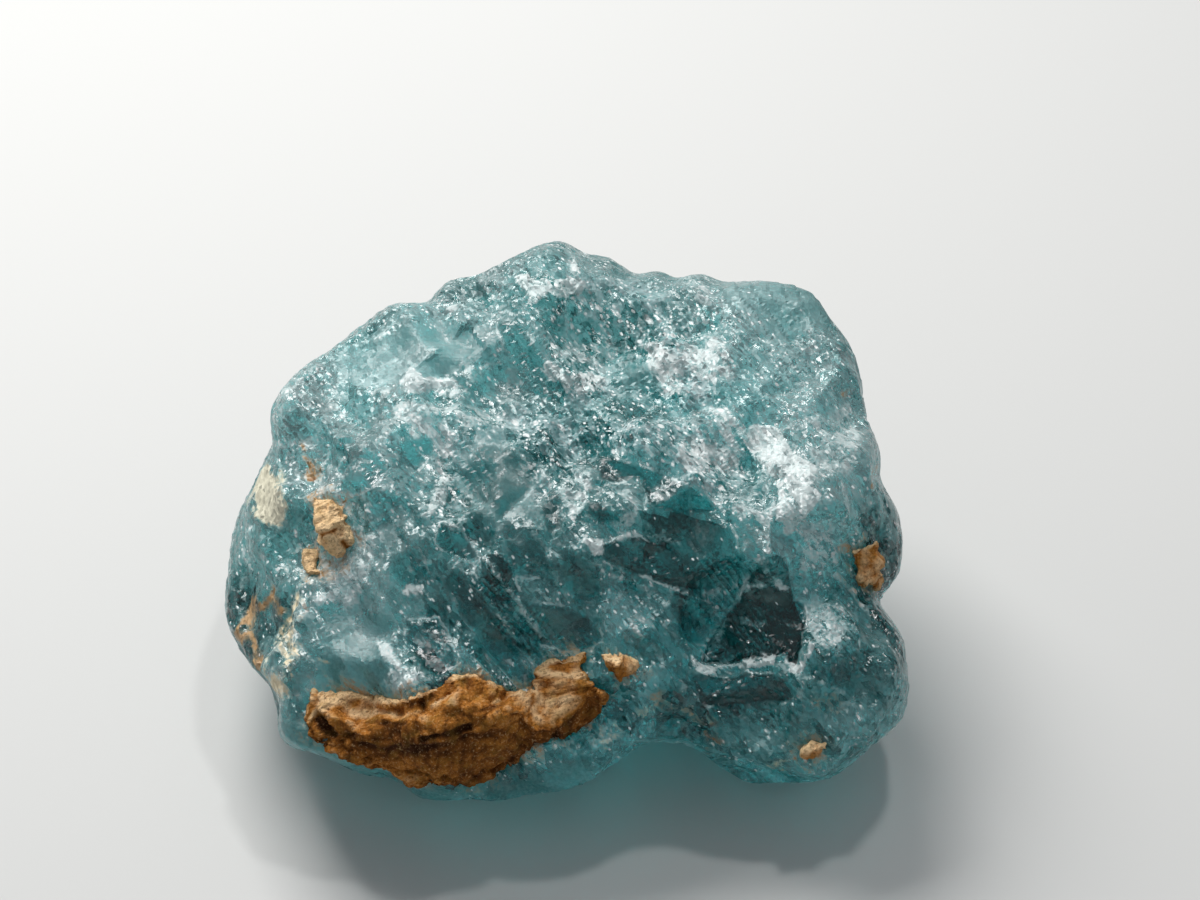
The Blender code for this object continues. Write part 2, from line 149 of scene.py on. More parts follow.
# Depths at which the relief of windows and frost starts and is full, and at which windows stop the glitter
WINDOW_EDGE = (-0.15, 0.2)
FROST_EDGE = (-0.1, 0.15)
CLEAR_EDGE = (-0.05, 0.15)

# At the outline that the camera sees the chips are worn low: how edge-on it is, the share of relief that is
# left, and the growth that makes up for it
RIM_FACING = (0.1, 0.5)
RIM_RELIEF = 0.3
RIM_GROWTH = 0.15

# How far a mark's edge wanders with the ragged and the fray noise
RAGGED_REACH = 0.09
FRAY_REACH = 0.04
# The share of its width that a stroke has, and how much it swells and breaks off as its edge wanders
STROKE_WIDTH = 0.9
STROKE_WOBBLE = 7.0

# White and frosted marks on the front, among them painted highlights where light glints off edges and cracks:
# strength, a stroke's half-width, its path or a closed outline
FROST_AND_GLINTS = (
    (1.45, (605, 292, 656, 350, 773, 343, 783, 266, 834, 226, 882, 189, 875, 138, 794, 131, 722, 160,
        678, 211, 630, 255)),
    (1.5, (743, 138, 878, 131, 900, 73, 853, 26, 820, -36, 783, -58, 769, -18, 736, -7, 751, 73)),
    (1.3, 0.12, (725, 80, 718, 0, 714, -109)),
    (0.95, (466, 423, 547, 415, 641, 335, 656, 248, 594, 248, 547, 292, 510, 364)),
    (0.7, (532, 117, 729, 80, 711, -15, 612, -7, 547, 51)),
    (0.85, (401, 306, 612, 248, 641, 168, 466, 160, 379, 233)),
    (1.3, (-619, 496, -583, 554, -547, 510, -426, 514, -397, 474, -459, 445, -517, 466, -598, 441)),
    (0.6, (-634, 437, -445, 437, -335, 423, -241, 386, -248, 343, -328, 335, -386, 292, -423, 211, -481, 146,
        -517, 182, -503, 284, -619, 299, -656, 364)),
    (1.3, (-459, 189, -430, 160, -466, 73, -517, -7, -554, 0, -517, 73, -496, 146)),
    (1.4, (-117, 561, -73, 517, -44, 496, -15, 459, 7, 496, 44, 470, 109, 477, 117, 521, 66, 536, 11, 532,
        -44, 568, -95, 590)),
    (0.5, (-98, 638, 102, 649, 109, 539, -44, 561, -95, 598)),
    (0.9, (-22, 182, 29, 215, 77, 182, 69, 91, 40, 29, 11, -15, -18, 18, -36, 73, -58, 109, -44, 160)),
    (1.6, (-26, 66, 29, 55, 18, 7, 7, -18, -15, 7)),
    (1.6, (-29, 182, 22, 204, 36, 160, -15, 138)),
    (1.5, (29, -58, 66, -77, 113, -69, 98, -131, 77, -128, 62, -98)),
    (0.6, (124, 124, 248, 80, 262, 0, 182, -44, 124, -15, 197, 44)),
    # A painted glint
    (1.0, (160, -270, 186, -262, 182, -306, 164, -299)),
    # Cracks, white partly as cracks and partly as painted reflection along them
    (1.5, 0.13, (437, -496, 466, -536, 517, -539, 568, -517, 619, -517, 678, -532, 729, -507)),
    (1.0, 0.08, (525, -510, 598, -481, 692, -488)),
    (1.5, 0.13, (805, -547, 834, -539, 860, -492, 875, -455)),
    (0.4, (842, -292, 977, -284, 1020, -364, 998, -474, 889, -459, 853, -383)),
    (0.8, 0.1, (-189, -230, -117, -255, -80, -284)),
    (1.3, 0.13, (-605, -262, -583, -248, -543, -259)),
    (1.2, 0.22, (-696, -455, -656, -510, -612, -576)),
    (0.95, (-656, -525, -554, -539, -517, -583, -619, -627, -685, -590)),
    (1.1, 0.09, (-481, -18, -401, -36, -350, -95)),
    (1.1, 0.09, (-598, -189, -539, -157, -481, -138)),
    # White lines in the dark facet, partly scratches and partly painted highlights along its edges
    (1.2, 0.1, (587, -361, 641, -379, 707, -368)),
    (1.2, 0.1, (627, -248, 714, -230, 794, -255)),
    (0.9, 0.1, (696, -146, 714, -189, 762, -233)),
    (1.1, 0.1, (248, -44, 292, -62, 335, -40)),
    # A painted highlight along a ridge
    (0.9, 0.1, (350, 208, 408, 189, 466, 215)),
    (0.9, 0.08, (547, 364, 598, 306, 627, 270)),
    (1.0, 0.12, (-124, 270, -95, 233)),
    (1.0, 0.12, (-401, 576, -372, 539)),
    (1.0, 0.14, (-415, 783, -437, 758)),
    (1.1, (255, 638, 339, 645, 412, 510, 400, 434, 360, 460, 321, 496, 284, 547)),
    (0.85, (401, 649, 477, 711, 558, 663, 605, 510, 521, 488, 430, 528, 394, 576)),
    (1.0, (259, 765, 292, 751, 317, 700, 284, 689, 259, 722)),
    (0.9, (168, 681, 233, 674, 193, 627)),
    (0.95, (-827, -200, -783, -237, -780, -292, -809, -346, -864, -299, -926, -321, -955, -292, -882, -255)),
    (0.5, (357, 882, 430, 893, 488, 856, 525, 802, 466, 780, 412, 820)),
    (0.35, (-463, 856, -299, 875, -251, 802, -335, 758, -426, 765)),
    (0.35, (849, -310, 885, -292, 995, -292, 1049, -335, 1031, -437, 940, -474, 867, -419)),
    (0.9, (-33, 933, 4, 933, 26, 889, 0, 856)),
    (1.6, 0.27, (-186, 867, -135, 845, -80, 827, 0, 845)),
    (1.6, 0.23, (-138, 794, -87, 834)),
    (0.7, 0.1, (-343, 601, -364, 561, -379, 510)),
    (1.4, 0.07, (415, -490, 452, -525, 485, -545, 547, -545)),
    (0.95, 0.3, (-980, -321, -1035, -437, -1053, -554, -1075, -667)),
    (0.8, 0.12, (-791, 634, -718, 652, -638, 700)),
    (0.6, 0.1, (-998, 496, -911, 550)),
    (0.6, 0.2, (-1031, 466, -1053, 383, -1024, 288)),
    (0.9, 0.14, (-1053, 0, -1130, -131)),
    (0.7, 0.14, (-1166, -18, -1188, -146, -1206, -262)),
    (0.5, 0.12, (-991, 0, -1042, -146, -1079, -255)),
    (0.8, 0.16, (-780, 466, -670, 452)),
    (0.7, 0.16, (-875, 408, -824, 379)),
    (0.8, 0.1, (-106, 612, -73, 561)),
    (0.9, 0.09, (680, -130, 610, -260, 500, -490)),
    (0.8, 0.09, (670, -215, 750, -220)),
    (1.1, 0.09, (560, -360, 620, -355, 690, -400)),
    (1.0, 0.09, (110, -186, 237, -230, 339, -310)),
    (1.0, 0.09, (120, -75, 250, -45, 390, -85)),
    (1.0, 0.09, (390, 225, 485, 190)),
    (1.0, 0.09, (-300, -160, -190, -310, -70, -490)),
    (1.0, 0.1, (958, -200, 1040, -270, 1120, -364)),
    (0.5, (840, 360, 1020, 440, 1060, 280, 1000, 140, 890, 120)),
    (0.75, (-920, 120, -760, 100, -700, -80, -730, -240, -840, -320, -920, -220)),
    (0.7, (800, -20, 960, 30, 960, -160, 850, -200)),
    (1.0, 0.1, (1013, -346, 1050, -474)),
    (1.0, 0.1, (813, -547, 830, -656)),
    (0.9, 0.1, (910, -590, 990, -630)),
    (0.9, 0.1, (220, -390, 290, -450, 330, -530)),
    (0.9, 0.1, (-150, -40, -90, -130, -50, -230)),
    (0.9, 0.1, (960, 160, 1000, 50, 990, -40)),
)

# Clear windows into the dark stone: depth of the dark, outline
WINDOWS = (
    (0.9, (87, 222, 157, 237, 248, 197, 339, 168, 466, 109, 517, 36, 437, -22, 321, 15, 266, 80, 248, 138,
        146, 128, 102, 146)),
    (0.7, (266, 80, 481, 58, 598, -36, 634, -146, 579, -262, 474, -292, 401, -189, 339, -102, 266, -18)),
    (0.95, (102, -95, 168, -66, 248, -58, 328, -84, 401, -138, 466, -189, 514, -292, 430, -262, 364, -248,
        284, -219, 175, -193, 117, -149)),
    (0.75, (364, -255, 517, -299, 532, -343, 496, -445, 445, -459, 394, -408, 372, -328)),
    (1.3, (689, -138, 740, -124, 791, -189, 813, -292, 853, -299, 845, -437, 805, -536, 758, -492, 630, -510,
        477, -510, 510, -437, 547, -353, 612, -292, 641, -219)),
    (1.0, (423, -561, 539, -565, 685, -554, 787, -576, 798, -656, 619, -685, 466, -678)),
    (0.6, (758, -44, 831, -29, 885, -91, 911, -175, 831, -153, 776, -95)),
    (0.85, (-492, -26, -408, -15, -364, -91, -339, -149, -401, -146, -463, -117, -503, -73)),
    (1.0, (-339, -219, -306, -146, -262, -128, -215, -200, -197, -262, -233, -313, -299, -299)),
    (0.8, (-445, -153, -350, -197, -302, -299, -251, -372, -211, -474, -146, -547, -84, -619, -189, -619,
        -270, -517, -335, -437, -408, -328, -466, -226)),
    (0.8, (-598, -364, -481, -353, -448, -437, -423, -517, -481, -572, -539, -539, -609, -437)),
    (0.8, (-189, -292, -44, -306, 66, -357, 109, -437, 15, -481, -117, -459, -175, -383)),
    (0.6, (-262, -4, -117, -18, -84, -146, -117, -219, -211, -200, -255, -109)),
    (0.6, (-44, -73, 102, -182, 109, -292, 29, -299, -62, -189)),
    (0.5, (-335, 554, -189, 612, -95, 488, -135, 434, -262, 434, -332, 466)),
    (0.75, (-270, 700, -204, 736, -113, 601, -4, 437, -62, 412, -160, 532, -248, 630)),
    (0.6, (-641, 292, -517, 313, -488, 248, -554, 182, -627, 197)),
    (0.55, (-415, 175, -343, 284, -153, 273, -98, 182, -182, 73, -255, 0, -335, 66, -379, 109)),
    (0.8, (58, 73, 109, 58, 182, -4, 102, 0, 44, 18)),
    (0.7, (-109, 73, -73, 131, -40, 73, -33, -40, -87, -44, -113, 15)),
    (0.7, (-466, 124, -415, 153, -408, 87, -459, 51, -488, 58)),
    (0.6, (-827, 262, -729, 292, -670, 182, -729, 109, -809, 87, -845, 182)),
    (0.5, (-44, 794, 248, 809, 328, 736, 248, 612, 102, 547, -15, 619)),
    (0.4, (175, 612, 284, 576, 394, 430, 248, 328, 102, 430)),
    (0.6, (-714, -131, -554, -91, -510, -189, -609, -262)),
    (0.5, (904, -492, 1042, -510, 1057, -663, 940, -674)),
)

# Brighter teal lights inside the stone: outline
GLOWS = (
    (-517, 328, -386, 328, -423, 233, -481, 160, -539, 182),
    (-135, 146, -36, 164, -80, 73, -131, 15, -182, 36),
    (60, 10, 150, -5, 210, -20, 190, -65, 102, -70, 40, -50),
    (-98, 182, -62, 153, -80, 109, -117, 73, -153, 18, -189, 55, -160, 109),
    (800, 290, 900, 260, 940, 120, 890, 60, 890, 180, 820, 230),
    (630, 437, 740, 419, 838, 343, 722, 343),
)

# Worn ground without flakes: outline
SMOOTH = (
    (-900, 560, -630, 730, -340, 700, -300, 600, -420, 530, -690, 490, -860, 500),
    (520, 870, 900, 840, 960, 700, 720, 660, 580, 760),
    (-890, -350, -660, -370, -640, -560, -720, -630, -920, -600),
    (-1100, -730, -900, -700, -400, -960, 60, -860, 20, -1040, -600, -1060, -1050, -860),
    (120, 620, 260, 590, 300, 490, 160, 450),
    (-452, 292, -262, 346, -190, 237, -98, 182, -153, 0, -262, -36, -390, 73),
)

# Finely broken ground that glitters: outline
GLITTER = (
    (-517, 292, -189, 408, 102, 364, 466, 364, 619, 255, 703, 138, 547, 62, 430, 109, 248, 248, 66, 233,
        -44, 182, -189, 182, -372, 73, -481, -15, -525, 146),
    (-44, 875, 248, 856, 430, 692, 539, 437, 394, 401, 175, 437, -44, 437, -117, 656),
)

# The edges of broad light and shade: how far they wander, and where they start and are full, in reaches
SHADE_WANDER = 0.3
SHADE_EDGE = (-0.5, 0.7)

# Broad light and shade inside the stone: change of tone, middle, reach
SHADES = (
    (-0.3, (11.8, -3.8), 2.6),
    (-0.2, (11.6, -0.6), 1.8),
    (-0.14, (-12.0, -4.0), 2.4),
    (-0.1, (4.6, -4.2), 2.6),
    (-0.14, (5.0, -7.0), 2.6),
    (-0.05, (-4.0, -4.0), 3.0),
    (-0.16, (-3.0, -9.4), 3.6),
    (-0.16, (1.0, 2.4), 3.5),
    (-0.12, (-2.6, 0.9), 2.2),
    (-0.04, (3.5, -1.0), 3.5),
    (-0.12, (8.0, -7.5), 3.0),
    (-0.12, (-5.3, -5.0), 1.4),
    (0.16, (9.2, 1.4), 2.6),
    (0.32, (8.8, -0.9), 1.4),
    (0.2, (-8.6, 0.0), 3.6),
    (-0.25, (-12.4, -3.8), 1.8),
    (0.12, (6.0, 8.3), 2.2),
    (0.12, (0.0, 7.0), 2.0),
    (0.1, (-9.0, -5.5), 2.0),
    (0.2, (6.5, 5.2), 3.0),
    (0.42, (9.9, 3.2), 2.4),
    (0.16, (-10.0, 3.6), 1.8),
    (0.28, (-10.3, -5.8), 1.7),
    (0.22, (-8.1, -1.6), 1.8),
    (0.12, (8.5, 4.6), 2.2),
    (0.12, (-8.0, 3.8), 2.4),
)

# Ground split into fine parallel steps: outline
STRIATED = (
    (-262, 711, -117, 690, 0, 481, -58, 394, -190, 510),
    (-481, -110, -330, -110, 30, -510, -150, -560),
    (-470, 330, -290, 330, -290, 100, -490, 20),
    (830, -290, 1030, -300, 1030, -510, 860, -520),
    (490, -130, 660, -130, 730, -460, 520, -490),
)

# Marks with soft edges: outlines, how far an edge wanders, how soft it is
SOFT_MARKS = {
    "glow": (GLOWS, 0.15, 0.25),
    "smooth": (SMOOTH, 0.3, 0.4),
    "glitter": (GLITTER, 0.3, 0.35),
    "striated": (STRIATED, 0.2, 0.25),
}

# The hidden sides: strength of frost and windows, their depth for noise of 1, the share of their own noise
# and where they start, and where the noises of smooth and of glittering ground start and are full
FAR_STRENGTH = 0.7
FAR_SLOPE = 1.2
FAR_FROST = (0.5, 0.75)
FAR_WINDOW = (0.4, 0.45)
FAR_SMOOTH = (0.1, 0.6)
FAR_GLITTER = (0.0, 0.5)

# Clay: the nodes, and how much paler than its middle each is
CLAY_PIECES = (("clay_band", -0.06), ("clay_lump_left", 0.6), ("clay_spot_left_lower", 0.55),
               ("clay_spot_front", 0.2), ("clay_patch_right", 0.3), ("clay_spot_right_low", 0.25))
# Its height over the CAD crystal, how deep it sinks into the broken one, and how often its seat is smoothed
CLAY_GAP = 0.3
CLAY_SUNK = 0.05
CLAY_EASING = 40

# Clay thinner than this crumbles off: the share of it in which that sets in, the noise where it starts and is
# full, and the depth that is lost
CLAY_THIN = 0.75
CLAY_THINNING = 0.8
CLAY_GONE = (-0.1, 0.8)
CLAY_LOSS = 0.22
# Thin clay that faces this way, up, back and to the left towards the key light, is paler: partly dry clay,
# partly painted light. How much thinner it is, and how squarely it faces, at first and in full
CLAY_DRY_AND_LIT = 0.87 * UP - 0.5 * RIGHT
CLAY_DRY_RISE = (0.1, 0.5)
CLAY_LIT_FACING = (0.2, 0.7)

# Crumbs, the fine ones' share of their size, their mean height, and the layers, which run along the band
CRUMB_SIZE = 0.34
FINE_CRUMB = 0.45
CRUMB_MIDDLE = 0.6
CRUMB_SALTS = (211, 213)
BAND_ALONG = np.array((0.96, 0.28))
BAND_ACROSS = np.array((-0.28, 0.96))
LAYER_SQUEEZE = 0.28

# What they add to the clay's height, and how pale they leave it: painted light pales clay that faces up and
# thin clay that faces the key light, and painted shade darkens clay that faces down
CLAY_HEIGHTS = {"crumbs": 0.14, "fine": 0.08, "layers": 0.03, "lumps": 0.11}
CLAY_TONES = {"middle": 0.43, "layers": 0.14, "crumbs": 0.5, "lumps": 0.18, "dry_and_lit": 0.4, "above": 0.22,
              "shaded_below": 0.12}
# Painted light and shade: how squarely the clay faces up, where it is made paler, and down, where it is made
# darker, at first and in full
CLAY_LIT_ABOVE = (0.65, 0.95)
CLAY_SHADED_BELOW = (-0.45, 0.1)

# Clay colours from the darkest, in the painted shade at the bottom of a groove, to the palest, on crumbs that
# take painted light
CLAY_STEPS = (0.0, 0.3, 0.6, 1.0)
CLAY_COLOURS = ((0.05, 0.014, 0.003), (0.19, 0.063, 0.009), (0.46, 0.175, 0.028), (0.88, 0.62, 0.35))

# Grooves: how far their edges wander, where they start and are full in half-widths, and how dark their depth
# makes them, which is painted shade
GROOVE_WANDER = 0.6
GROOVE_EDGE = (-0.6, 0.7)
GROOVE_SHADE = 4.0

# Grooves and pits in the clay: depth, half-width, path
CLAY_GROOVES = (
    (0.2, 0.13, (-550, -805, -490, -786, -440, -780, -370, -760)),
    (0.3, 0.2, (-910, -730, -870, -780)),
    (0.07, 0.12, (-860, -695, -720, -740, -620, -760)),
    (0.07, 0.12, (-790, -820, -600, -850, -420, -810, -260, -770)),
    (0.06, 0.1, (-340, -700, -230, -660, -130, -640)),
    (0.15, 0.1, (-125, -560, -110, -575)),
    (0.15, 0.1, (-920, -55, -870, -40)),
    (0.15, 0.1, (-850, -80, -830, -100)),
)

PALE = (0.62, 0.59, 0.45)
CREAM = (0.72, 0.62, 0.42)
TAN = (0.42, 0.26, 0.12)
RUST = (0.3, 0.13, 0.04)
UMBER = (0.07, 0.04, 0.02)

# Stains on the crystal: colour, strength, half-width, path
STAINS = (
    (PALE, 1.9, 0.5, (-1130, 150, -1110, 90, -1095, 40)),
    (CREAM, 0.9, 0.28, (-990, -300, -1030, -440, -1060, -570, -1080, -660)),
    (TAN, 1.1, 0.26, (-1060, -310, -1090, -280, -1152, -335, -1181, -401, -1159, -474, -1130, -532)),
    (TAN, 0.8, 0.3, (-975, 250, -930, 210, -950, 170)),
    (RUST, 0.9, 0.14, (-955, 170, -950, 150)),
    (TAN, 0.6, 0.25, (299, -652, 364, -678, 430, -729, 488, -740)),
    (RUST, 0.6, 0.16, (481, -769, 514, -824)),
    (UMBER, 0.8, 0.08, (488, -751, 517, -754)),
    (TAN, 0.5, 0.35, (896, -660, 969, -680)),
    (CREAM, 0.4, 0.35, (102, -800, 175, -750, 284, -710)),
    (TAN, 0.8, 0.14, (998, 445, 1013, 470)),
    (TAN, 0.8, 0.14, (1071, 131, 1086, 175)),
    (CREAM, 0.8, 0.12, (707, -900, 769, -875)),
    (RUST, 0.5, 0.12, (-955, -320, -950, -330)),
    (CREAM, 0.7, 0.16, (-920, -510, -910, -520)),
)

# How far the stains' edges wander, and how they mix where they meet
STAIN_WANDER = 0.3
STAIN_BLEND = 0.2

# Earth that the clay has left on the crystal around it: how far it reaches, and how strong it is
STAIN_REACH = 0.9
STAIN_STRENGTH = 0.75

# Tone of the stone: its middle, how far it strays, the painted light that pales ground facing up, the painted
# shade that darkens ground facing forward, what glows and glitter change, and how squarely ground faces up or
# forward at first and in full
TONE_MIDDLE = 0.55
TONE_BROAD = 0.1
TONE_LIT_TOP = 0.16
TONE_SHADED_FRONT = 0.08
TONE_GLOW = 0.2
TONE_GLITTER = 0.1
LIT_TOP_FACING = (0.55, 0.95)
SHADED_FRONT_FACING = (0.6, 0.95)

# Colours of the stone from deepest to palest, by tone
TONES = (0.0, 0.25, 0.5, 0.75, 1.0)
TEALS = (
    (0.001, 0.02, 0.019),
    (0.068, 0.25, 0.25),
    (0.275, 0.56, 0.56),
    (0.51, 0.78, 0.78),
    (0.72, 0.91, 0.91),
)
# White of frost and of the painted highlights among its marks
FROST_AND_GLINT_WHITE = (0.81, 0.87, 0.86)
# White of the specks, which are painted glints
GLINT_SPECK_WHITE = (0.86, 0.9, 0.89)
HAZE_GREY = (0.42, 0.5, 0.52)

# What the crystal's mesh carries to its material, three numbers to a colour
PAINTED = {
    "stone": ("tone", "smooth", "striated"),
    "white": ("frost", "frost_and_glint_strength", "glitter"),
    "dark": ("window", "darkness", "stained"),
}

# Flakes in the crystal's material: size, and how far they lean
FACETS = (1.3, 0.3)
SMALL_FLAKES = (0.3, 0.35)
FINE_FLAKES = (0.12, 1.0)
# How much longer they are along the splinters, and how their edges are stirred: size and reach
FLAKE_STRETCH = 2.0
STIR_SIZE = 0.5
STIR_REACH = 0.14
# Noises of the material: size, detail, roughness, and the middle of every noise and random number in it
GRAIN = (0.12, 3.0, 0.7)
CLOUDS = (1.1, 3.0, 0.6)
MIDDLE = 0.5

# Shares of facets, small and fine flakes, grain and clouds in how edges break up, and in the stone's shade
BREAKUP = (0.4, 0.5, 0.4, 1.4, 1.0)
SHADING = (0.38, 0.24, 0.3, 0.55, 0.4)
# Share of the layers of striated ground in its shade, and how clouds and grain bend them
LAYER_SHADE = 0.34
LAYER_CLOUDS = 1.5
LAYER_GRAIN = 0.6

# Edges of panes and frost: how broken, how far out, how wide, and how much narrower where the mark is strong
PANE_EDGE = (0.12, 0.03, 0.4, 0.28)
FROST_FRINGE = (0.14, 0.02, 0.4, 0.23)
PANE_CALM = 0.8
PANE_DIMMING = 0.32
# The white rims of panes: depths at which they start and are full, and the clouds that they show in
PANE_RIM = (0.06, 0.02)
PANE_RIM_CLOUDS = (0.49, 0.59, 0.0, 0.75)

# How broken worn, calm and glittering ground is
BROKEN = (0.8, 0.28)
BROKEN_GLITTER = 1.2

# Frost's density, its gaps, and how white it is, and so of the painted highlights among its marks
FROST_DENSITY = 0.75
FROST_GAPS = 1.3
FROST_WHITENESS = 0.85

# White specks, painted glints of light off tiny facets along with white flecks in the frost: what broken,
# glittering and frosted ground and clouds add to their chance, the clouds' middle, the small flakes' share of
# it, how wide fine and small ones get, how fast they grow, and how soft they are
SPECK_BROKEN = 0.19
SPECK_GLITTER = 0.17
SPECK_FROSTED = 0.25
SPECK_CLOUDS = 0.7
SPECK_MIDDLE = 0.34
SPECK_SMALL = 0.6
SPECK_WIDEST = (0.45, 0.4)
SPECK_GROWTH = 4.0
SPECK_EDGE = 0.12

# Bruises, haze and soil: what other marks add to the breakup, or it to them, and the ramps they run through
BRUISE_GLITTER = 0.2
BRUISE_CALM = -0.4
BRUISE = (0.5, 0.8, 0.0, 0.6)
HAZE_PANE = -0.5
HAZE = (-0.3, 0.3, 0.0, 0.6)
SOIL_BREAKUP = 0.8
SOIL = (0.35, 0.95)
SOIL_START = (0.0, 0.15)

# How clear the ground and its panes are, and how much white hides of that
CLEARNESS = (0.75, 0.95)
WHITE_COVER = 0.8
# Roughness: range over the small flakes, and what cover and wear add
DULLNESS = (0.1, 0.4)
COVER_ROUGHNESS = 0.3
WORN_ROUGHNESS = 0.2
# Bumps of the grain
GRAIN_STRENGTH = 0.29
GRAIN_DEPTH = 0.04

# Refraction, and the colour that a path through the stone takes on
REFRACTION = 1.6
DEPTH_COLOUR = (0.3, 0.84, 0.86, 1.0)
DEPTH_DENSITY = 260.0

# The clay's material. Noises: size, detail, roughness
CLAY_NOISES = {"grain": (0.1, 4.0, 0.7), "blotch": (0.5, 3.0, 0.6), "pits": (0.13, 5.0, 0.7)}
# What they add to the clay's colour: noise, ramp, colour
CLAY_TINTS = (
    ("grain", (0.5, 0.34, 0.0, 0.7), (0.06, 0.025, 0.01)),
    ("grain", (0.56, 0.7, 0.0, 0.5), (0.85, 0.57, 0.3)),
    ("blotch", (0.5, 0.7, 0.0, 0.4), (0.3, 0.17, 0.03)),
)
CLAY_ROUGHNESS = (0.3, 0.7, 0.95, 0.75)
CLAY_SHINE = 0.12
PIT_STRENGTH = 0.9
PIT_DEPTH = 0.08

# The floor: half its side, how far it lies under the stone, its colour and roughness
FLOOR_REACH = 600.0
FLOOR_DROP = 0.02
FLOOR_GREY = (0.62, 0.62, 0.61)
FLOOR_ROUGHNESS = 0.8

# Lights: name, place, side, power in watts, colour
LIGHTS = (
    ("key", (-50, 90, 130), 90, 0.3, (1.0, 0.99, 0.97)),
    ("glint", (30, 30, 160), 12, 0.04, (1.0, 1.0, 1.0)),
)
WORLD_COLOUR = (0.9, 0.95, 1.0)
WORLD_STRENGTH = 0.29


def ease(value, low, high):
    """Smooth step from 0 at low to 1 at high."""
    part = np.clip((value - low) / (high - low), 0.0, 1.0)
    return part * part * (3.0 - 2.0 * part)


def hashed(cells, salt):
    """Six random numbers that belong to each whole-numbered cell."""
    return HASHES[(cells.astype(np.int64) @ STRIDES + salt * SALT_STRIDE) % len(HASHES)]


def noise(points, name):
    """Smooth noise from about -1 to 1, of the size that the name has in the table."""
    size, salt, octaves = NOISES[name]
    total = np.zeros(len(points))
    share = 1.0
    for octave in range(octaves):
        grid = points * (OCTAVE_RATIO ** octave / size) + OCTAVE_SHIFT * octave
        cell = np.floor(grid)
        part = grid - cell
        part = part * part * (3.0 - 2.0 * part)
        value = np.zeros(len(points))
        for corner in np.ndindex(2, 2, 2):
            weight = np.prod(np.where(np.array(corner), part, 1.0 - part), axis=1)
            value += weight * hashed(cell + corner, salt + OCTAVE_SALT * octave)[:, 0]
        total += share * (2.0 * value - 1.0)
        share *= 0.5
    return total


def chips(points, size, stretch, salt):
    """Flat-sided pits along the cleavage that meet in sharp ridges: each point's height, in pit sizes."""
    grid = points @ CLEAVAGE_AXES.T / (size * np.array((1.0, 1.0, stretch)))
    home = np.floor(grid)
    height = np.full(len(points), np.inf)
    for offset in np.ndindex(3, 3, 3):
        cell = home + np.array(offset) - 1.0
        numbers = hashed(cell, salt)
        away = grid - cell - CELL_MARGIN - (1.0 - 2.0 * CELL_MARGIN) * numbers[:, :3]
        lean = CHIP_LEAN * (numbers[:, 3:] - 0.5)
        pit = np.abs(away).max(axis=1) - np.einsum("ij,ij->i", lean, away)
        height = np.minimum(height, pit)
    return height


def grains(points, size, salt):
    """Round grains: 1 at the top of each, falling towards its neighbours."""
    grid = points / size
    home = np.floor(grid)
    nearest = np.full(len(points), np.inf)
    for offset in np.ndindex(3, 3, 3):
        cell = home + np.array(offset) - 1.0
        away = grid - cell - CELL_MARGIN - (1.0 - 2.0 * CELL_MARGIN) * hashed(cell, salt)[:, :3]
        nearest = np.minimum(nearest, np.einsum("ij,ij->i", away, away))
    return 1.0 - nearest


def front_uv(points):
    """(across, up) of each point on the plane through the stone's middle, seen from the eye."""
    rel = points - EYE
    reach = EYE_DISTANCE / -(rel @ TOWARD)
    return np.column_stack((EYE_ACROSS + rel @ RIGHT * reach, EYE_UP + rel @ UP * reach))


def corners_of(outline):
    """An outline or a path as rows of (across, up) in millimetres."""
    return np.reshape(outline, (-1, 2)) / PER_MM


def from_segment(uv, start, end):
    """How far each point lies from the line between start and end."""
    edge = end - start
    rel = uv - start
    along = np.clip(rel @ edge / (edge @ edge), 0.0, 1.0)
    return np.hypot(*(rel - np.outer(along, edge)).T)


def from_path(uv, path):
    corners = corners_of(path)
    return np.min([from_segment(uv, a, b) for a, b in zip(corners, corners[1:])], axis=0)


def inside_depth(uv, outline):
    """How deep each point lies inside the outline, negative outside."""
    corners = corners_of(outline)
    inside = np.zeros(len(uv), bool)
    nearest = np.full(len(uv), np.inf)
    for start, end in zip(corners, np.roll(corners, -1, axis=0)):
        nearest = np.minimum(nearest, from_segment(uv, start, end))
        crosses = (start[1] <= uv[:, 1]) != (end[1] <= uv[:, 1])
        rise = end[1] - start[1] if end[1] != start[1] else 1.0
        inside ^= crosses & (uv[:, 0] < start[0] + (uv[:, 1] - start[1]) / rise * (end[0] - start[0]))
    return np.where(inside, nearest, -nearest)


def deepest_mark(uv, marks, wobble):
    """Depth of each point in the mark it lies deepest in (negative outside), its strength and its middle."""
    deepest = np.full(len(uv), -1.0)
    strength = np.zeros(len(uv))
    middle = np.zeros((len(uv), 2))
    for amount, *half_width, outline in marks:
        if half_width:
            depth = half_width[0] * (STROKE_WIDTH + STROKE_WOBBLE * wobble) - from_path(uv, outline)
        else:
            depth = inside_depth(uv, outline) + wobble
        deeper = depth > deepest
        deepest[deeper] = depth[deeper]
        strength[deeper] = amount
        middle[deeper] = corners_of(outline).mean(axis=0)
    return deepest, strength, middle


def fine_copy(name, voxel):
    """A copy of a CAD solid as an even mesh, fine enough to carry its chips or grains."""
    piece = bpy.data.objects.new(name + "_surface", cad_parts[name].data.copy())
    bpy.context.scene.collection.objects.link(piece)
    even = piece.modifiers.new("even", "REMESH")
    even.mode = "VOXEL"
    even.voxel_size = voxel * MM
    soft = piece.modifiers.new("soft", "SMOOTH")
    soft.factor = SOFTNESS
    soft.iterations = SMOOTHING
    mesh = bpy.data.meshes.new_from_object(piece.evaluated_get(bpy.context.evaluated_depsgraph_get()))
    piece.modifiers.clear()
    piece.data = mesh
    return piece


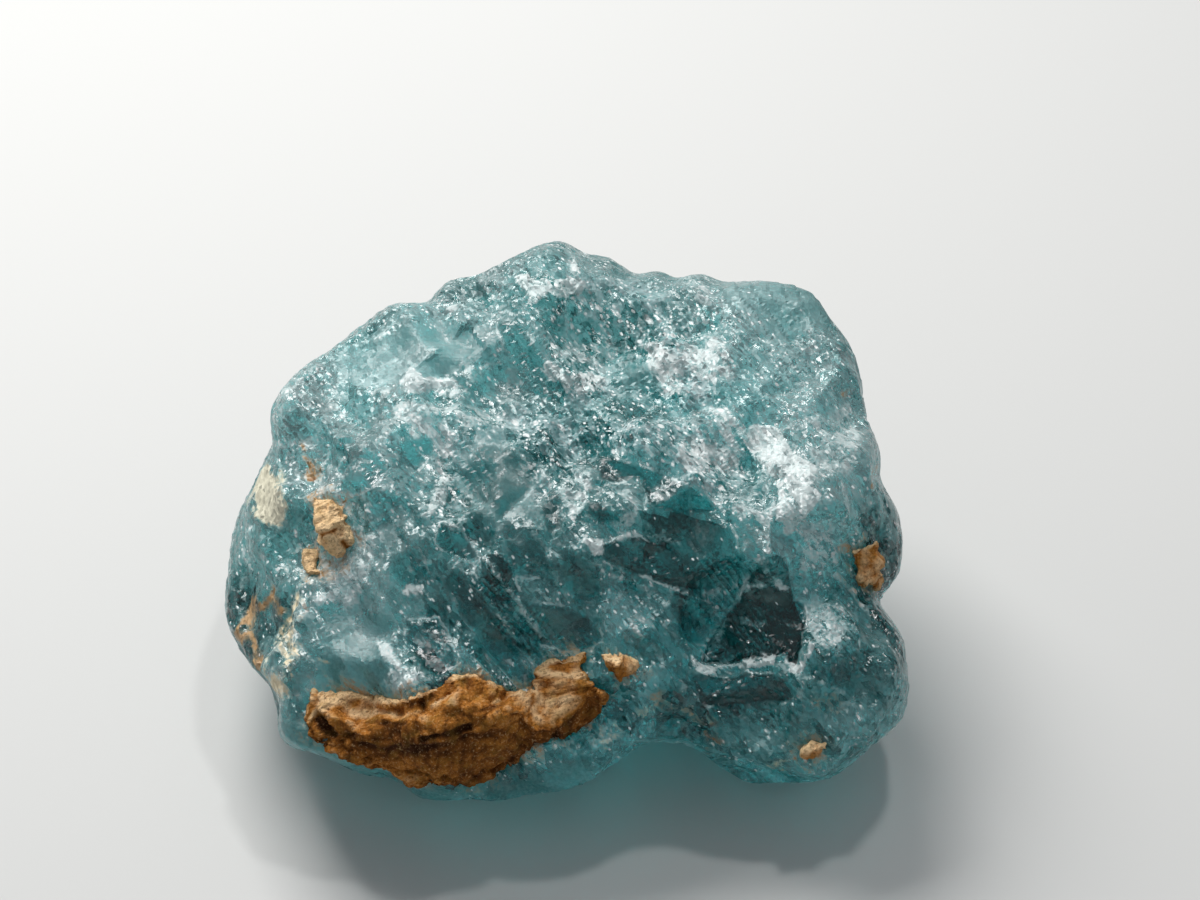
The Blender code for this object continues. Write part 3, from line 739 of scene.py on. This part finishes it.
def vectors_of(items, name):
    """One vector of each of the mesh's items, as rows."""
    values = np.empty(len(items) * 3)
    items.foreach_get(name, values)
    return values.reshape(-1, 3)


def read(mesh):
    """The mesh's points in millimetres, and its normals."""
    return vectors_of(mesh.vertices, "co") / MM, vectors_of(mesh.vertex_normals, "vector")


def write(mesh, points):
    mesh.vertices.foreach_set("co", (points * MM).ravel())
    mesh.update()


def paint(mesh, name, colours):
    """Stores three numbers for each vertex as a colour."""
    rgba = np.column_stack((colours, np.ones(len(colours))))
    mesh.attributes.new(name, "FLOAT_COLOR", "POINT").data.foreach_set("color", rgba.ravel())


def facing_eye(points, normals):
    """1 where the surface faces the eye, 0 where it is seen edge-on, negative behind."""
    sight = EYE - points
    return np.einsum("ij,ij->i", sight, normals) / np.linalg.norm(sight, axis=1)


def on_front(points, normals):
    """1 where the marks of the front show, 0 on the hidden sides."""
    return ease(facing_eye(points, normals), *FRONT_FACING)


def crystal_marks(points, normals):
    """What each point of the crystal carries: depths (negative outside) and shares from 0 to 1."""
    uv = front_uv(points)
    shown = on_front(points, normals)
    ragged = noise(points, "ragged")
    wobble = RAGGED_REACH * ragged + FRAY_REACH * noise(points, "fray")
    frost, frost_and_glint_strength, _ = deepest_mark(uv, FROST_AND_GLINTS, wobble)
    window, darkness, middle = deepest_mark(uv, WINDOWS, wobble)
    soft = {}
    for name, (outlines, wander, reach) in SOFT_MARKS.items():
        depths = [inside_depth(uv, outline) + wander * ragged for outline in outlines]
        soft[name] = np.max([ease(depth, -reach, reach) for depth in depths], axis=0)
    clear = ease(window, *CLEAR_EDGE) * np.clip(2.0 * darkness - 1.0, 0.0, 1.0)
    glitter = soft["glitter"] * (1.0 - soft["smooth"]) * (1.0 - clear)
    shade = np.zeros(len(points))
    wander = 1.0 + SHADE_WANDER * noise(points, "shade edge")
    for change, centre, reach in SHADES:
        away = np.hypot(*(uv - np.array(centre)).T) * wander
        shade += change * ease(reach - away, *(edge * reach for edge in SHADE_EDGE))

    # The hidden sides take their marks from noise
    veils = noise(points, "veils")
    far_frost = FAR_SLOPE * (veils + FAR_FROST[0] * noise(points, "far frost") - FAR_FROST[1])
    far_window = FAR_SLOPE * (-veils + FAR_WINDOW[0] * noise(points, "far window") - FAR_WINDOW[1])

    def either(front, hidden=0.0):
        return shown * front + (1.0 - shown) * hidden

    return {
        "frost": either(frost, far_frost),
        "frost_and_glint_strength": either(frost_and_glint_strength, FAR_STRENGTH),
        "window": either(window, far_window),
        "darkness": either(darkness, FAR_STRENGTH),
        "smooth": either(soft["smooth"], ease(noise(points, "far smooth"), *FAR_SMOOTH)),
        "glitter": either(glitter, ease(noise(points, "far glitter"), *FAR_GLITTER)),
        "glow": either(soft["glow"]),
        "striated": either(soft["striated"]),
        "shade": either(shade),
        "facing": facing_eye(points, normals),
        "shelf": shown * WINDOW_SLOPE * np.clip(uv[:, 1] - middle[:, 1], -SHELF_REACH, SHELF_REACH),
    }


def crystal_relief(points, marks):
    """Height of the broken surface over the CAD solid."""
    window = marks["darkness"] * ease(marks["window"], *WINDOW_EDGE)
    frost = marks["frost_and_glint_strength"] * ease(marks["frost"], *FROST_EDGE)
    calm = np.clip(window * (1.0 - frost) + marks["smooth"], 0.0, 1.0)
    rough = np.clip(marks["glitter"] + frost, 0.0, 1.0)
    inner = ease(np.abs(marks["facing"]), *RIM_FACING)
    height = np.zeros(len(points))
    for level, (size, ridge, stretch, share, gain, loss) in enumerate(CHIPS):
        pit = chips(points, size, stretch, CHIP_SALT + level)
        keep = (share + gain * rough) * (1.0 - loss * calm)
        height += ridge * keep * (pit - pit.mean()) * (RIM_RELIEF + (1.0 - RIM_RELIEF) * inner)
    steps = points @ CLEAVAGE / STEP_SPACING + STEP_WANDER * noise(points, "step wander")
    patch = ease(noise(points, "step patches"), *STEP_PATCHES) + STEP_STRIATED * marks["striated"]
    height += STEP_HEIGHT * patch * (np.mod(steps, 1.0) - 0.5)
    height += FROST_RISE * frost + window * (marks["shelf"] - WINDOW_SINK)
    height += GRIT_HEIGHT * rough * noise(points, "grit")
    return height + RIM_GROWTH * (1.0 - inner)


def crystal_tone(points, normals, marks):
    """How pale the stone is at each point, from 0 to 1."""
    tone = TONE_MIDDLE + TONE_BROAD * noise(points, "broad") + marks["shade"]
    # Painted light and shade: ground that faces up is paler, and ground that faces forward, away from the
    # light, is darker
    tone += TONE_LIT_TOP * ease(normals[:, 2], *LIT_TOP_FACING)
    tone -= TONE_SHADED_FRONT * ease(-normals[:, 1], *SHADED_FRONT_FACING)
    tone += TONE_GLOW * marks["glow"] - TONE_GLITTER * marks["glitter"]
    return np.clip(tone, 0.0, 1.0)


def stains(points, normals):
    """The colour and the amount of stain at each point: marks, and earth along the clay's edges."""
    uv = front_uv(points)
    shown = on_front(points, normals)
    wander = STAIN_WANDER * np.column_stack((noise(points, "stain across"), noise(points, "stain up")))
    tint = np.tile(np.array(TAN), (len(points), 1))
    amount = np.zeros(len(points))
    for colour, strength, width, path in STAINS:
        share = strength * shown * ease(width - from_path(uv + wander, path), -width, width)
        tint += ease(share - amount, 0.0, STAIN_BLEND)[:, None] * (np.array(colour) - tint)
        amount = np.maximum(amount, share)
    for name, _ in CLAY_PIECES:
        low, high = (np.array(corner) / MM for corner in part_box(name))
        near = np.flatnonzero(np.all((points > low - STAIN_REACH) & (points < high + STAIN_REACH), axis=1))
        solid = tree_of(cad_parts[name].data)
        for index in near:
            distance = solid.find_nearest(Vector(points[index]))[3]
            amount[index] = max(amount[index], STAIN_STRENGTH * (1.0 - distance / STAIN_REACH))
    return tint, amount


def make_crystal():
    piece = fine_copy("crystal", CRYSTAL_VOXEL)
    mesh = piece.data
    points, normals = read(mesh)
    marks = crystal_marks(points, normals)
    raised = points + normals * crystal_relief(points, marks)[:, None]
    floor = points[:, 2].min()
    raised[:, 2] = np.maximum(raised[:, 2], floor)
    write(mesh, raised)
    tint, stained = stains(points, normals)
    paint(mesh, "tint", tint)
    marks["tone"] = crystal_tone(points, normals, marks)
    marks["stained"] = stained
    for name, three in PAINTED.items():
        paint(mesh, name, np.column_stack([marks[mark] for mark in three]))
    mesh.materials.clear()
    mesh.materials.append(crystal_material())
    place(piece, "crystal")
    return tree_of(mesh)


def tree_of(mesh):
    """The mesh in millimetres, ready for finding the nearest point on it."""
    return BVHTree.FromPolygons([v.co / MM for v in mesh.vertices], [p.vertices[:] for p in mesh.polygons])


def place(piece, node):
    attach(piece, "root")
    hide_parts(node)


class Nodes:
    """Short calls for building a node tree."""

    def __init__(self, material):
        material.use_nodes = True
        self.tree = material.node_tree
        self.shader = self.tree.nodes["Principled BSDF"]
        self.output = self.tree.nodes["Material Output"]

    def add(self, kind, inputs, **settings):
        node = self.tree.nodes.new(kind)
        for name, value in settings.items():
            setattr(node, name, value)
        self.fill(node, inputs)
        return node

    def fill(self, node, inputs):
        """Gives each input, by its name or its place, a value or a link."""
        for name, value in inputs.items():
            if isinstance(value, bpy.types.NodeSocket):
                self.tree.links.new(value, node.inputs[name])
            else:
                node.inputs[name].default_value = value

    def math(self, operation, *values, clamp=False):
        node = self.add("ShaderNodeMath", dict(enumerate(values)), operation=operation, use_clamp=clamp)
        return node.outputs[0]

    def total(self, *terms):
        """The sum of factor * value, or of factor * (value - middle) where a term has three parts."""
        result = -sum(factor * sum(middle) for factor, _, *middle in terms)
        for factor, value, *_ in terms:
            result = self.math("MULTIPLY_ADD", value, factor, result)
        return result

    def product(self, a, b, clamp=False):
        return self.math("MULTIPLY", a, b, clamp=clamp)

    def highest(self, a, b):
        return self.math("MAXIMUM", a, b)

    def painted(self, name):
        return self.add("ShaderNodeAttribute", {}, attribute_name=name).outputs["Color"]

    def parts(self, colour):
        """The three numbers of a colour."""
        return self.add("ShaderNodeSeparateColor", {"Color": colour}).outputs[:3]

    def noise(self, size, detail, roughness):
        inputs = {"Scale": 1.0 / (size * MM), "Detail": detail, "Roughness": roughness}
        return self.add("ShaderNodeTexNoise", {**inputs, "Vector": self.object_coordinates()}).outputs["Fac"]

    def object_coordinates(self):
        if not hasattr(self, "coordinates"):
            self.coordinates = self.add("ShaderNodeTexCoord", {}).outputs["Object"]
        return self.coordinates

    def vector(self, operation, *values):
        node = self.add("ShaderNodeVectorMath", dict(enumerate(values)), operation=operation)
        return node.outputs["Value" if operation == "DOT_PRODUCT" else "Vector"]

    def scaled(self, vector, factor):
        node = self.add("ShaderNodeVectorMath", {0: vector, "Scale": factor}, operation="SCALE")
        return node.outputs["Vector"]

    def splintered(self):
        """Coordinates squeezed along the splinters and stirred, so that flakes come out long and uneven."""
        spot = self.object_coordinates()
        stir = self.add("ShaderNodeTexNoise", {"Scale": 1.0 / (STIR_SIZE * MM), "Vector": spot})
        shift = self.vector("SUBTRACT", stir.outputs["Color"], (MIDDLE,) * 3)
        spot = self.vector("ADD", spot, self.scaled(shift, STIR_REACH * MM))
        along = self.vector("DOT_PRODUCT", spot, tuple(SPLINTER * (1.0 / FLAKE_STRETCH - 1.0)))
        return self.vector("ADD", spot, self.scaled(tuple(SPLINTER), along))

    def flakes(self, size, reach, vector):
        """Cells: each one's random lean, two random numbers, and the distance to its middle."""
        cells = self.add("ShaderNodeTexVoronoi", {"Scale": 1.0 / (size * MM), "Vector": vector})
        lean = self.scaled(self.vector("SUBTRACT", cells.outputs["Color"], (MIDDLE,) * 3), reach)
        shade, number, _ = self.parts(cells.outputs["Color"])
        return lean, shade, number, cells.outputs["Distance"]

    def specks(self, chance, number, distance, widest):
        """Spots in the middle of cells whose number is high, the more of them the higher the chance."""
        reach = self.product(self.total((1.0, number, 1.0), (1.0, chance)), widest * SPECK_GROWTH)
        depth = self.math("SUBTRACT", self.math("MINIMUM", reach, widest), distance)
        return self.ramp(depth, 0.0, SPECK_EDGE)

    def inside(self, depth, breakup, strength, edge):
        """From 0 outside a mark to 1 inside, over an edge that is broken, and narrower for a strong mark."""
        broken, outside, wide, narrower = edge
        width = self.total((-narrower, strength), (1.0, wide))
        reach = self.total((1.0, depth), (broken, breakup), (1.0, outside))
        return self.math("DIVIDE", reach, width, clamp=True)

    def ramp(self, value, low, high, to_low=0.0, to_high=1.0):
        """The value's place between low and high, held there, on the way from to_low to to_high."""
        result = self.math("MULTIPLY_ADD", value, 1.0 / (high - low), -low / (high - low), clamp=True)
        if (to_low, to_high) == (0.0, 1.0):
            return result
        return self.math("MULTIPLY_ADD", result, to_high - to_low, to_low)

    def mix(self, share, a, b):
        """Two colours mixed: the Mix node has its colours at inputs 6 and 7 and at output 2."""
        return self.add("ShaderNodeMix", {0: share, 6: a, 7: b}, data_type="RGBA").outputs[2]

    def bump(self, strength, depth, inputs):
        """The normal over bumps of that depth."""
        settings = {"Strength": strength, "Distance": depth * MM}
        return self.add("ShaderNodeBump", {**settings, **inputs}).outputs["Normal"]


def crystal_material():
    material = bpy.data.materials.new("crystal")
    nodes = Nodes(material)
    (tone, smooth, striated), (frost, frost_and_glint_strength, glitter), (window, darkness, stained) = (
        nodes.parts(nodes.painted(name)) for name in PAINTED)

    # Flat flakes of three sizes, stretched along the splinters: each has its own lean and its own shade
    along = nodes.splintered()
    facet_lean, facet_shade, _, _ = nodes.flakes(*FACETS, along)
    small_lean, small_shade, small_number, small_away = nodes.flakes(*SMALL_FLAKES, along)
    fine_lean, fine_shade, fine_number, fine_away = nodes.flakes(*FINE_FLAKES, along)
    grain = nodes.noise(*GRAIN)
    clouds = nodes.noise(*CLOUDS)
    parts = (facet_shade, small_shade, fine_shade, grain, clouds)
    breakup = nodes.total(*((share, part, MIDDLE) for share, part in zip(BREAKUP, parts)))

    # How broken the ground is: worn ground and windows carry few flakes, glittering ground many
    pane = nodes.product(nodes.inside(window, breakup, darkness, PANE_EDGE), darkness)
    calm = nodes.highest(smooth, nodes.ramp(pane, 0.0, PANE_CALM))
    broken = nodes.highest(nodes.ramp(calm, 0.0, 1.0, *BROKEN), nodes.product(glitter, BROKEN_GLITTER))

    facet_share, small_share, fine_share, grain_share, cloud_share = SHADING
    flaky = nodes.total((small_share, small_shade, MIDDLE), (fine_share, fine_shade, MIDDLE))
    shade = nodes.total((1.0, tone), (facet_share, facet_shade, MIDDLE), (1.0, nodes.product(flaky, broken)),
                        (cloud_share, clouds, MIDDLE), (grain_share, grain, MIDDLE),
                        (-PANE_DIMMING, nodes.product(pane, pane)))
    layers = nodes.vector("DOT_PRODUCT", nodes.object_coordinates(), tuple(CLEAVAGE / (STRIA_SPACING * MM)))
    layers = nodes.total((1.0, layers), (LAYER_CLOUDS, clouds), (LAYER_GRAIN, grain))
    layers = nodes.total((LAYER_SHADE, nodes.math("FRACT", layers), MIDDLE))
    shade = nodes.math("ADD", shade, nodes.product(striated, layers))
    teals = nodes.add("ShaderNodeValToRGB", {"Fac": shade})
    stops = teals.color_ramp.elements
    for position in TONES[1:-1]:
        stops.new(position)
    for stop, position, teal in zip(stops, TONES, TEALS):
        stop.position = position
        stop.color = (*teal, 1.0)

    # Frost, with the painted highlights among its marks, keeps to whole flakes, so its edges are broken, and
    # white specks, painted glints along with flecks of frost, lie all over
    # Frost and the painted highlights among its marks turn white here
    density = nodes.total((FROST_DENSITY, frost_and_glint_strength), (FROST_GAPS, breakup))
    frosted_and_glinting = nodes.product(nodes.inside(frost, breakup, frost_and_glint_strength, FROST_FRINGE), density, clamp=True)
    chance = nodes.total((SPECK_BROKEN, broken), (SPECK_GLITTER, glitter), (SPECK_FROSTED, frosted_and_glinting),
                         (SPECK_CLOUDS, clouds, SPECK_MIDDLE))
    # The specks paint glints of light in white
    glint_speck = nodes.highest(
        nodes.specks(chance, fine_number, fine_away, SPECK_WIDEST[0]),
        nodes.specks(nodes.product(chance, SPECK_SMALL), small_number, small_away, SPECK_WIDEST[1]))
    rim = nodes.math("ABSOLUTE", nodes.total((1.0, window), (PANE_EDGE[0], breakup)))
    rim_share = nodes.product(darkness, nodes.ramp(clouds, *PANE_RIM_CLOUDS))
    rim = nodes.product(nodes.ramp(rim, *PANE_RIM), rim_share)
    bruise = nodes.total((1.0, breakup), (BRUISE_GLITTER, glitter), (BRUISE_CALM, calm))
    white = nodes.highest(nodes.ramp(bruise, *BRUISE), rim)
    white = nodes.highest(nodes.product(frosted_and_glinting, FROST_WHITENESS), white)
    haze = nodes.ramp(nodes.total((1.0, breakup), (HAZE_PANE, pane)), *HAZE)
    haze = nodes.product(glitter, haze)
    soiled = nodes.ramp(nodes.total((1.0, stained), (SOIL_BREAKUP, breakup)), *SOIL)
    soiled = nodes.product(soiled, nodes.ramp(stained, *SOIL_START))
    colour = nodes.mix(haze, teals.outputs["Color"], (*HAZE_GREY, 1.0))
    colour = nodes.mix(white, colour, (*FROST_AND_GLINT_WHITE, 1.0))
    colour = nodes.mix(glint_speck, colour, (*GLINT_SPECK_WHITE, 1.0))

    cover = nodes.product(nodes.highest(white, glint_speck), WHITE_COVER)
    cover = nodes.highest(cover, nodes.highest(soiled, haze))
    clear = nodes.product(nodes.ramp(pane, 0.0, 1.0, *CLEARNESS), nodes.math("SUBTRACT", 1.0, cover))
    dull = nodes.ramp(small_shade, 0.0, 1.0, *DULLNESS)
    lean = nodes.vector("ADD", nodes.vector("ADD", facet_lean, small_lean), fine_lean)
    normal = nodes.add("ShaderNodeNewGeometry", {}).outputs["Normal"]
    normal = nodes.vector("NORMALIZE", nodes.vector("ADD", normal, nodes.scaled(lean, broken)))
    nodes.fill(nodes.shader, {
        "Base Color": nodes.mix(soiled, colour, nodes.painted("tint")),
        "Transmission Weight": clear,
        "Roughness": nodes.total((COVER_ROUGHNESS, cover), (WORN_ROUGHNESS, smooth), (1.0, dull)),
        "IOR": REFRACTION,
        "Normal": nodes.bump(GRAIN_STRENGTH, GRAIN_DEPTH, {"Height": grain, "Normal": normal}),
    })
    depth = nodes.add("ShaderNodeVolumeAbsorption", {"Color": DEPTH_COLOUR, "Density": DEPTH_DENSITY})
    nodes.fill(nodes.output, {"Volume": depth.outputs["Volume"]})
    return material


def clay_material():
    material = bpy.data.materials.new("clay")
    nodes = Nodes(material)
    noises = {name: nodes.noise(*settings) for name, settings in CLAY_NOISES.items()}
    colour = nodes.painted("earth")
    for name, ramp, tint in CLAY_TINTS:
        colour = nodes.mix(nodes.ramp(noises[name], *ramp), colour, (*tint, 1.0))
    nodes.fill(nodes.shader, {
        "Base Color": colour,
        "Roughness": nodes.ramp(noises["grain"], *CLAY_ROUGHNESS),
        "Specular IOR Level": CLAY_SHINE,
        "Normal": nodes.bump(PIT_STRENGTH, PIT_DEPTH, {"Height": noises["pits"]}),
    })
    return material


def clay_relief(points, normals, uv, rise):
    """Height that crumbs, layers and grooves add to the clay, and how pale the clay is at each point."""
    crumbs = grains(points, CRUMB_SIZE, CRUMB_SALTS[0]) - CRUMB_MIDDLE
    fine = grains(points, FINE_CRUMB * CRUMB_SIZE, CRUMB_SALTS[1]) - CRUMB_MIDDLE
    turned = np.column_stack((uv @ BAND_ALONG, uv @ BAND_ACROSS / LAYER_SQUEEZE, np.zeros(len(uv))))
    layers = noise(turned, "clay layers")
    lumps = noise(points, "clay lumps")
    add, tone = CLAY_HEIGHTS, CLAY_TONES
    height = add["crumbs"] * crumbs + add["fine"] * fine + add["layers"] * layers + add["lumps"] * lumps
    pale = tone["middle"] + tone["layers"] * layers + tone["crumbs"] * crumbs + tone["lumps"] * lumps
    # Partly dry clay, partly painted light: thin clay that faces the key light is paler
    pale += tone["dry_and_lit"] * ease(CLAY_THIN - rise, *CLAY_DRY_RISE) * ease(normals @ CLAY_DRY_AND_LIT, *CLAY_LIT_FACING)
    # Painted light and shade: clay that faces up is paler, clay that faces down is darker
    facing_up = normals[:, 2]
    pale += tone["above"] * ease(facing_up, *CLAY_LIT_ABOVE) - tone["shaded_below"] * ease(-facing_up, *CLAY_SHADED_BELOW)
    ragged = 1.0 + GROOVE_WANDER * noise(points, "groove edge")
    for depth, half_width, path in CLAY_GROOVES:
        inside = half_width * ragged - from_path(uv, path)
        share = ease(inside, *(edge * half_width for edge in GROOVE_EDGE))
        height -= depth * share
        # Painted shade: the deeper the groove, the darker the clay in it
        pale -= GROOVE_SHADE * depth * share
    # Thin clay has crumbled off in places, down into the stone
    gone = ease(noise(points, "clay gone"), *CLAY_GONE)
    gone *= ease(CLAY_THIN - rise, 0.0, CLAY_THINNING * CLAY_THIN)
    return height - CLAY_LOSS * gone, np.clip(pale, 0.0, 1.0)


def over_ground(ground, points):
    """The height of each point over the ground, and the way up from it."""
    spots = [ground.find_nearest(Vector(point)) for point in points]
    feet = np.array([spot[0] for spot in spots])
    upward = np.array([spot[1] for spot in spots])
    return np.einsum("ij,ij->i", points - feet, upward), upward


def spread(mesh, values, rounds):
    """Each row of values, averaged over and over with the neighbours along the mesh's edges."""
    ends = np.empty(len(mesh.edges) * 2, int)
    mesh.edges.foreach_get("vertices", ends)
    ends = ends.reshape(-1, 2)
    start, end = np.concatenate((ends, ends[:, ::-1])).T
    count = np.bincount(start)
    for _ in range(rounds):
        values = [0.5 * row + 0.5 * np.bincount(start, row[end]) / count for row in values]
    return values


def unit_rows(vectors):
    return vectors / np.linalg.norm(vectors, axis=1)[:, None]


def make_clay(ground):
    """The clay pieces, let down on the broken crystal as they lie on its solid, and crumbled."""
    material = clay_material()
    solid = tree_of(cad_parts["crystal"].data)
    for name, paler in CLAY_PIECES:
        piece = fine_copy(name, CLAY_VOXEL)
        points, normals = read(piece.data)
        solid_rise, upward = over_ground(solid, points)
        rise = solid_rise - CLAY_GAP - CLAY_SUNK
        drop = rise - over_ground(ground, points)[0]
        drop, *upward = spread(piece.data, (drop, *upward.T), CLAY_EASING)
        height, pale = clay_relief(points, normals, front_uv(points), rise)
        seated = points + drop[:, None] * unit_rows(np.column_stack(upward))
        write(piece.data, seated + normals * height[:, None])
        pale = np.clip(pale + paler, 0.0, 1.0)
        paint(piece.data, "earth", np.column_stack([np.interp(pale, CLAY_STEPS, [c[i] for c in CLAY_COLOURS])
                                                    for i in range(3)]))
        piece.data.materials.clear()
        piece.data.materials.append(material)
        place(piece, name)


def make_floor():
    """A wide pale floor under the stone."""
    mesh = bpy.data.meshes.new("floor")
    corners = np.array(((-1, -1, 0), (1, -1, 0), (1, 1, 0), (-1, 1, 0))) * FLOOR_REACH * MM
    mesh.from_pydata(corners.tolist(), [], [(0, 1, 2, 3)])
    floor = bpy.data.objects.new("floor", mesh)
    bpy.context.scene.collection.objects.link(floor)
    floor.location.z = -FLOOR_DROP * MM
    material = bpy.data.materials.new("floor")
    nodes = Nodes(material)
    nodes.fill(nodes.shader, {"Base Color": (*FLOOR_GREY, 1.0), "Roughness": FLOOR_ROUGHNESS})
    mesh.materials.append(material)


def add_light(name, position, size, power, colour):
    """A soft square light that looks at the stone's middle."""
    light = bpy.data.lights.new(name, "AREA")
    light.size = size * MM
    light.energy = power
    light.color = colour
    lamp = bpy.data.objects.new(name, light)
    lamp.location = Vector(position) * MM
    lamp.rotation_euler = (Vector(CENTRE) - Vector(position)).to_track_quat("-Z", "Y").to_euler()
    bpy.context.scene.collection.objects.link(lamp)


def make_studio():
    for light in LIGHTS:
        add_light(*light)
    world = bpy.data.worlds.new("studio")
    world.use_nodes = True
    background = world.node_tree.nodes["Background"]
    background.inputs["Color"].default_value = (*WORLD_COLOUR, 1.0)
    background.inputs["Strength"].default_value = WORLD_STRENGTH
    bpy.context.scene.world = world
    bpy.context.scene.view_settings.view_transform = "Standard"


def make_camera():
    camera = bpy.data.cameras.new("camera")
    camera.lens = LENS_MM
    camera.sensor_width = SENSOR_MM
    camera.clip_start = NEAREST * MM
    camera.clip_end = FARTHEST * MM
    eye = bpy.data.objects.new("camera", camera)
    eye.location = Vector(EYE) * MM
    eye.rotation_euler = (-Vector(TOWARD)).to_track_quat("-Z", "Y").to_euler()
    bpy.context.scene.collection.objects.link(eye)
    bpy.context.scene.camera = eye


make_clay(make_crystal())
make_floor()
make_studio()
make_camera()
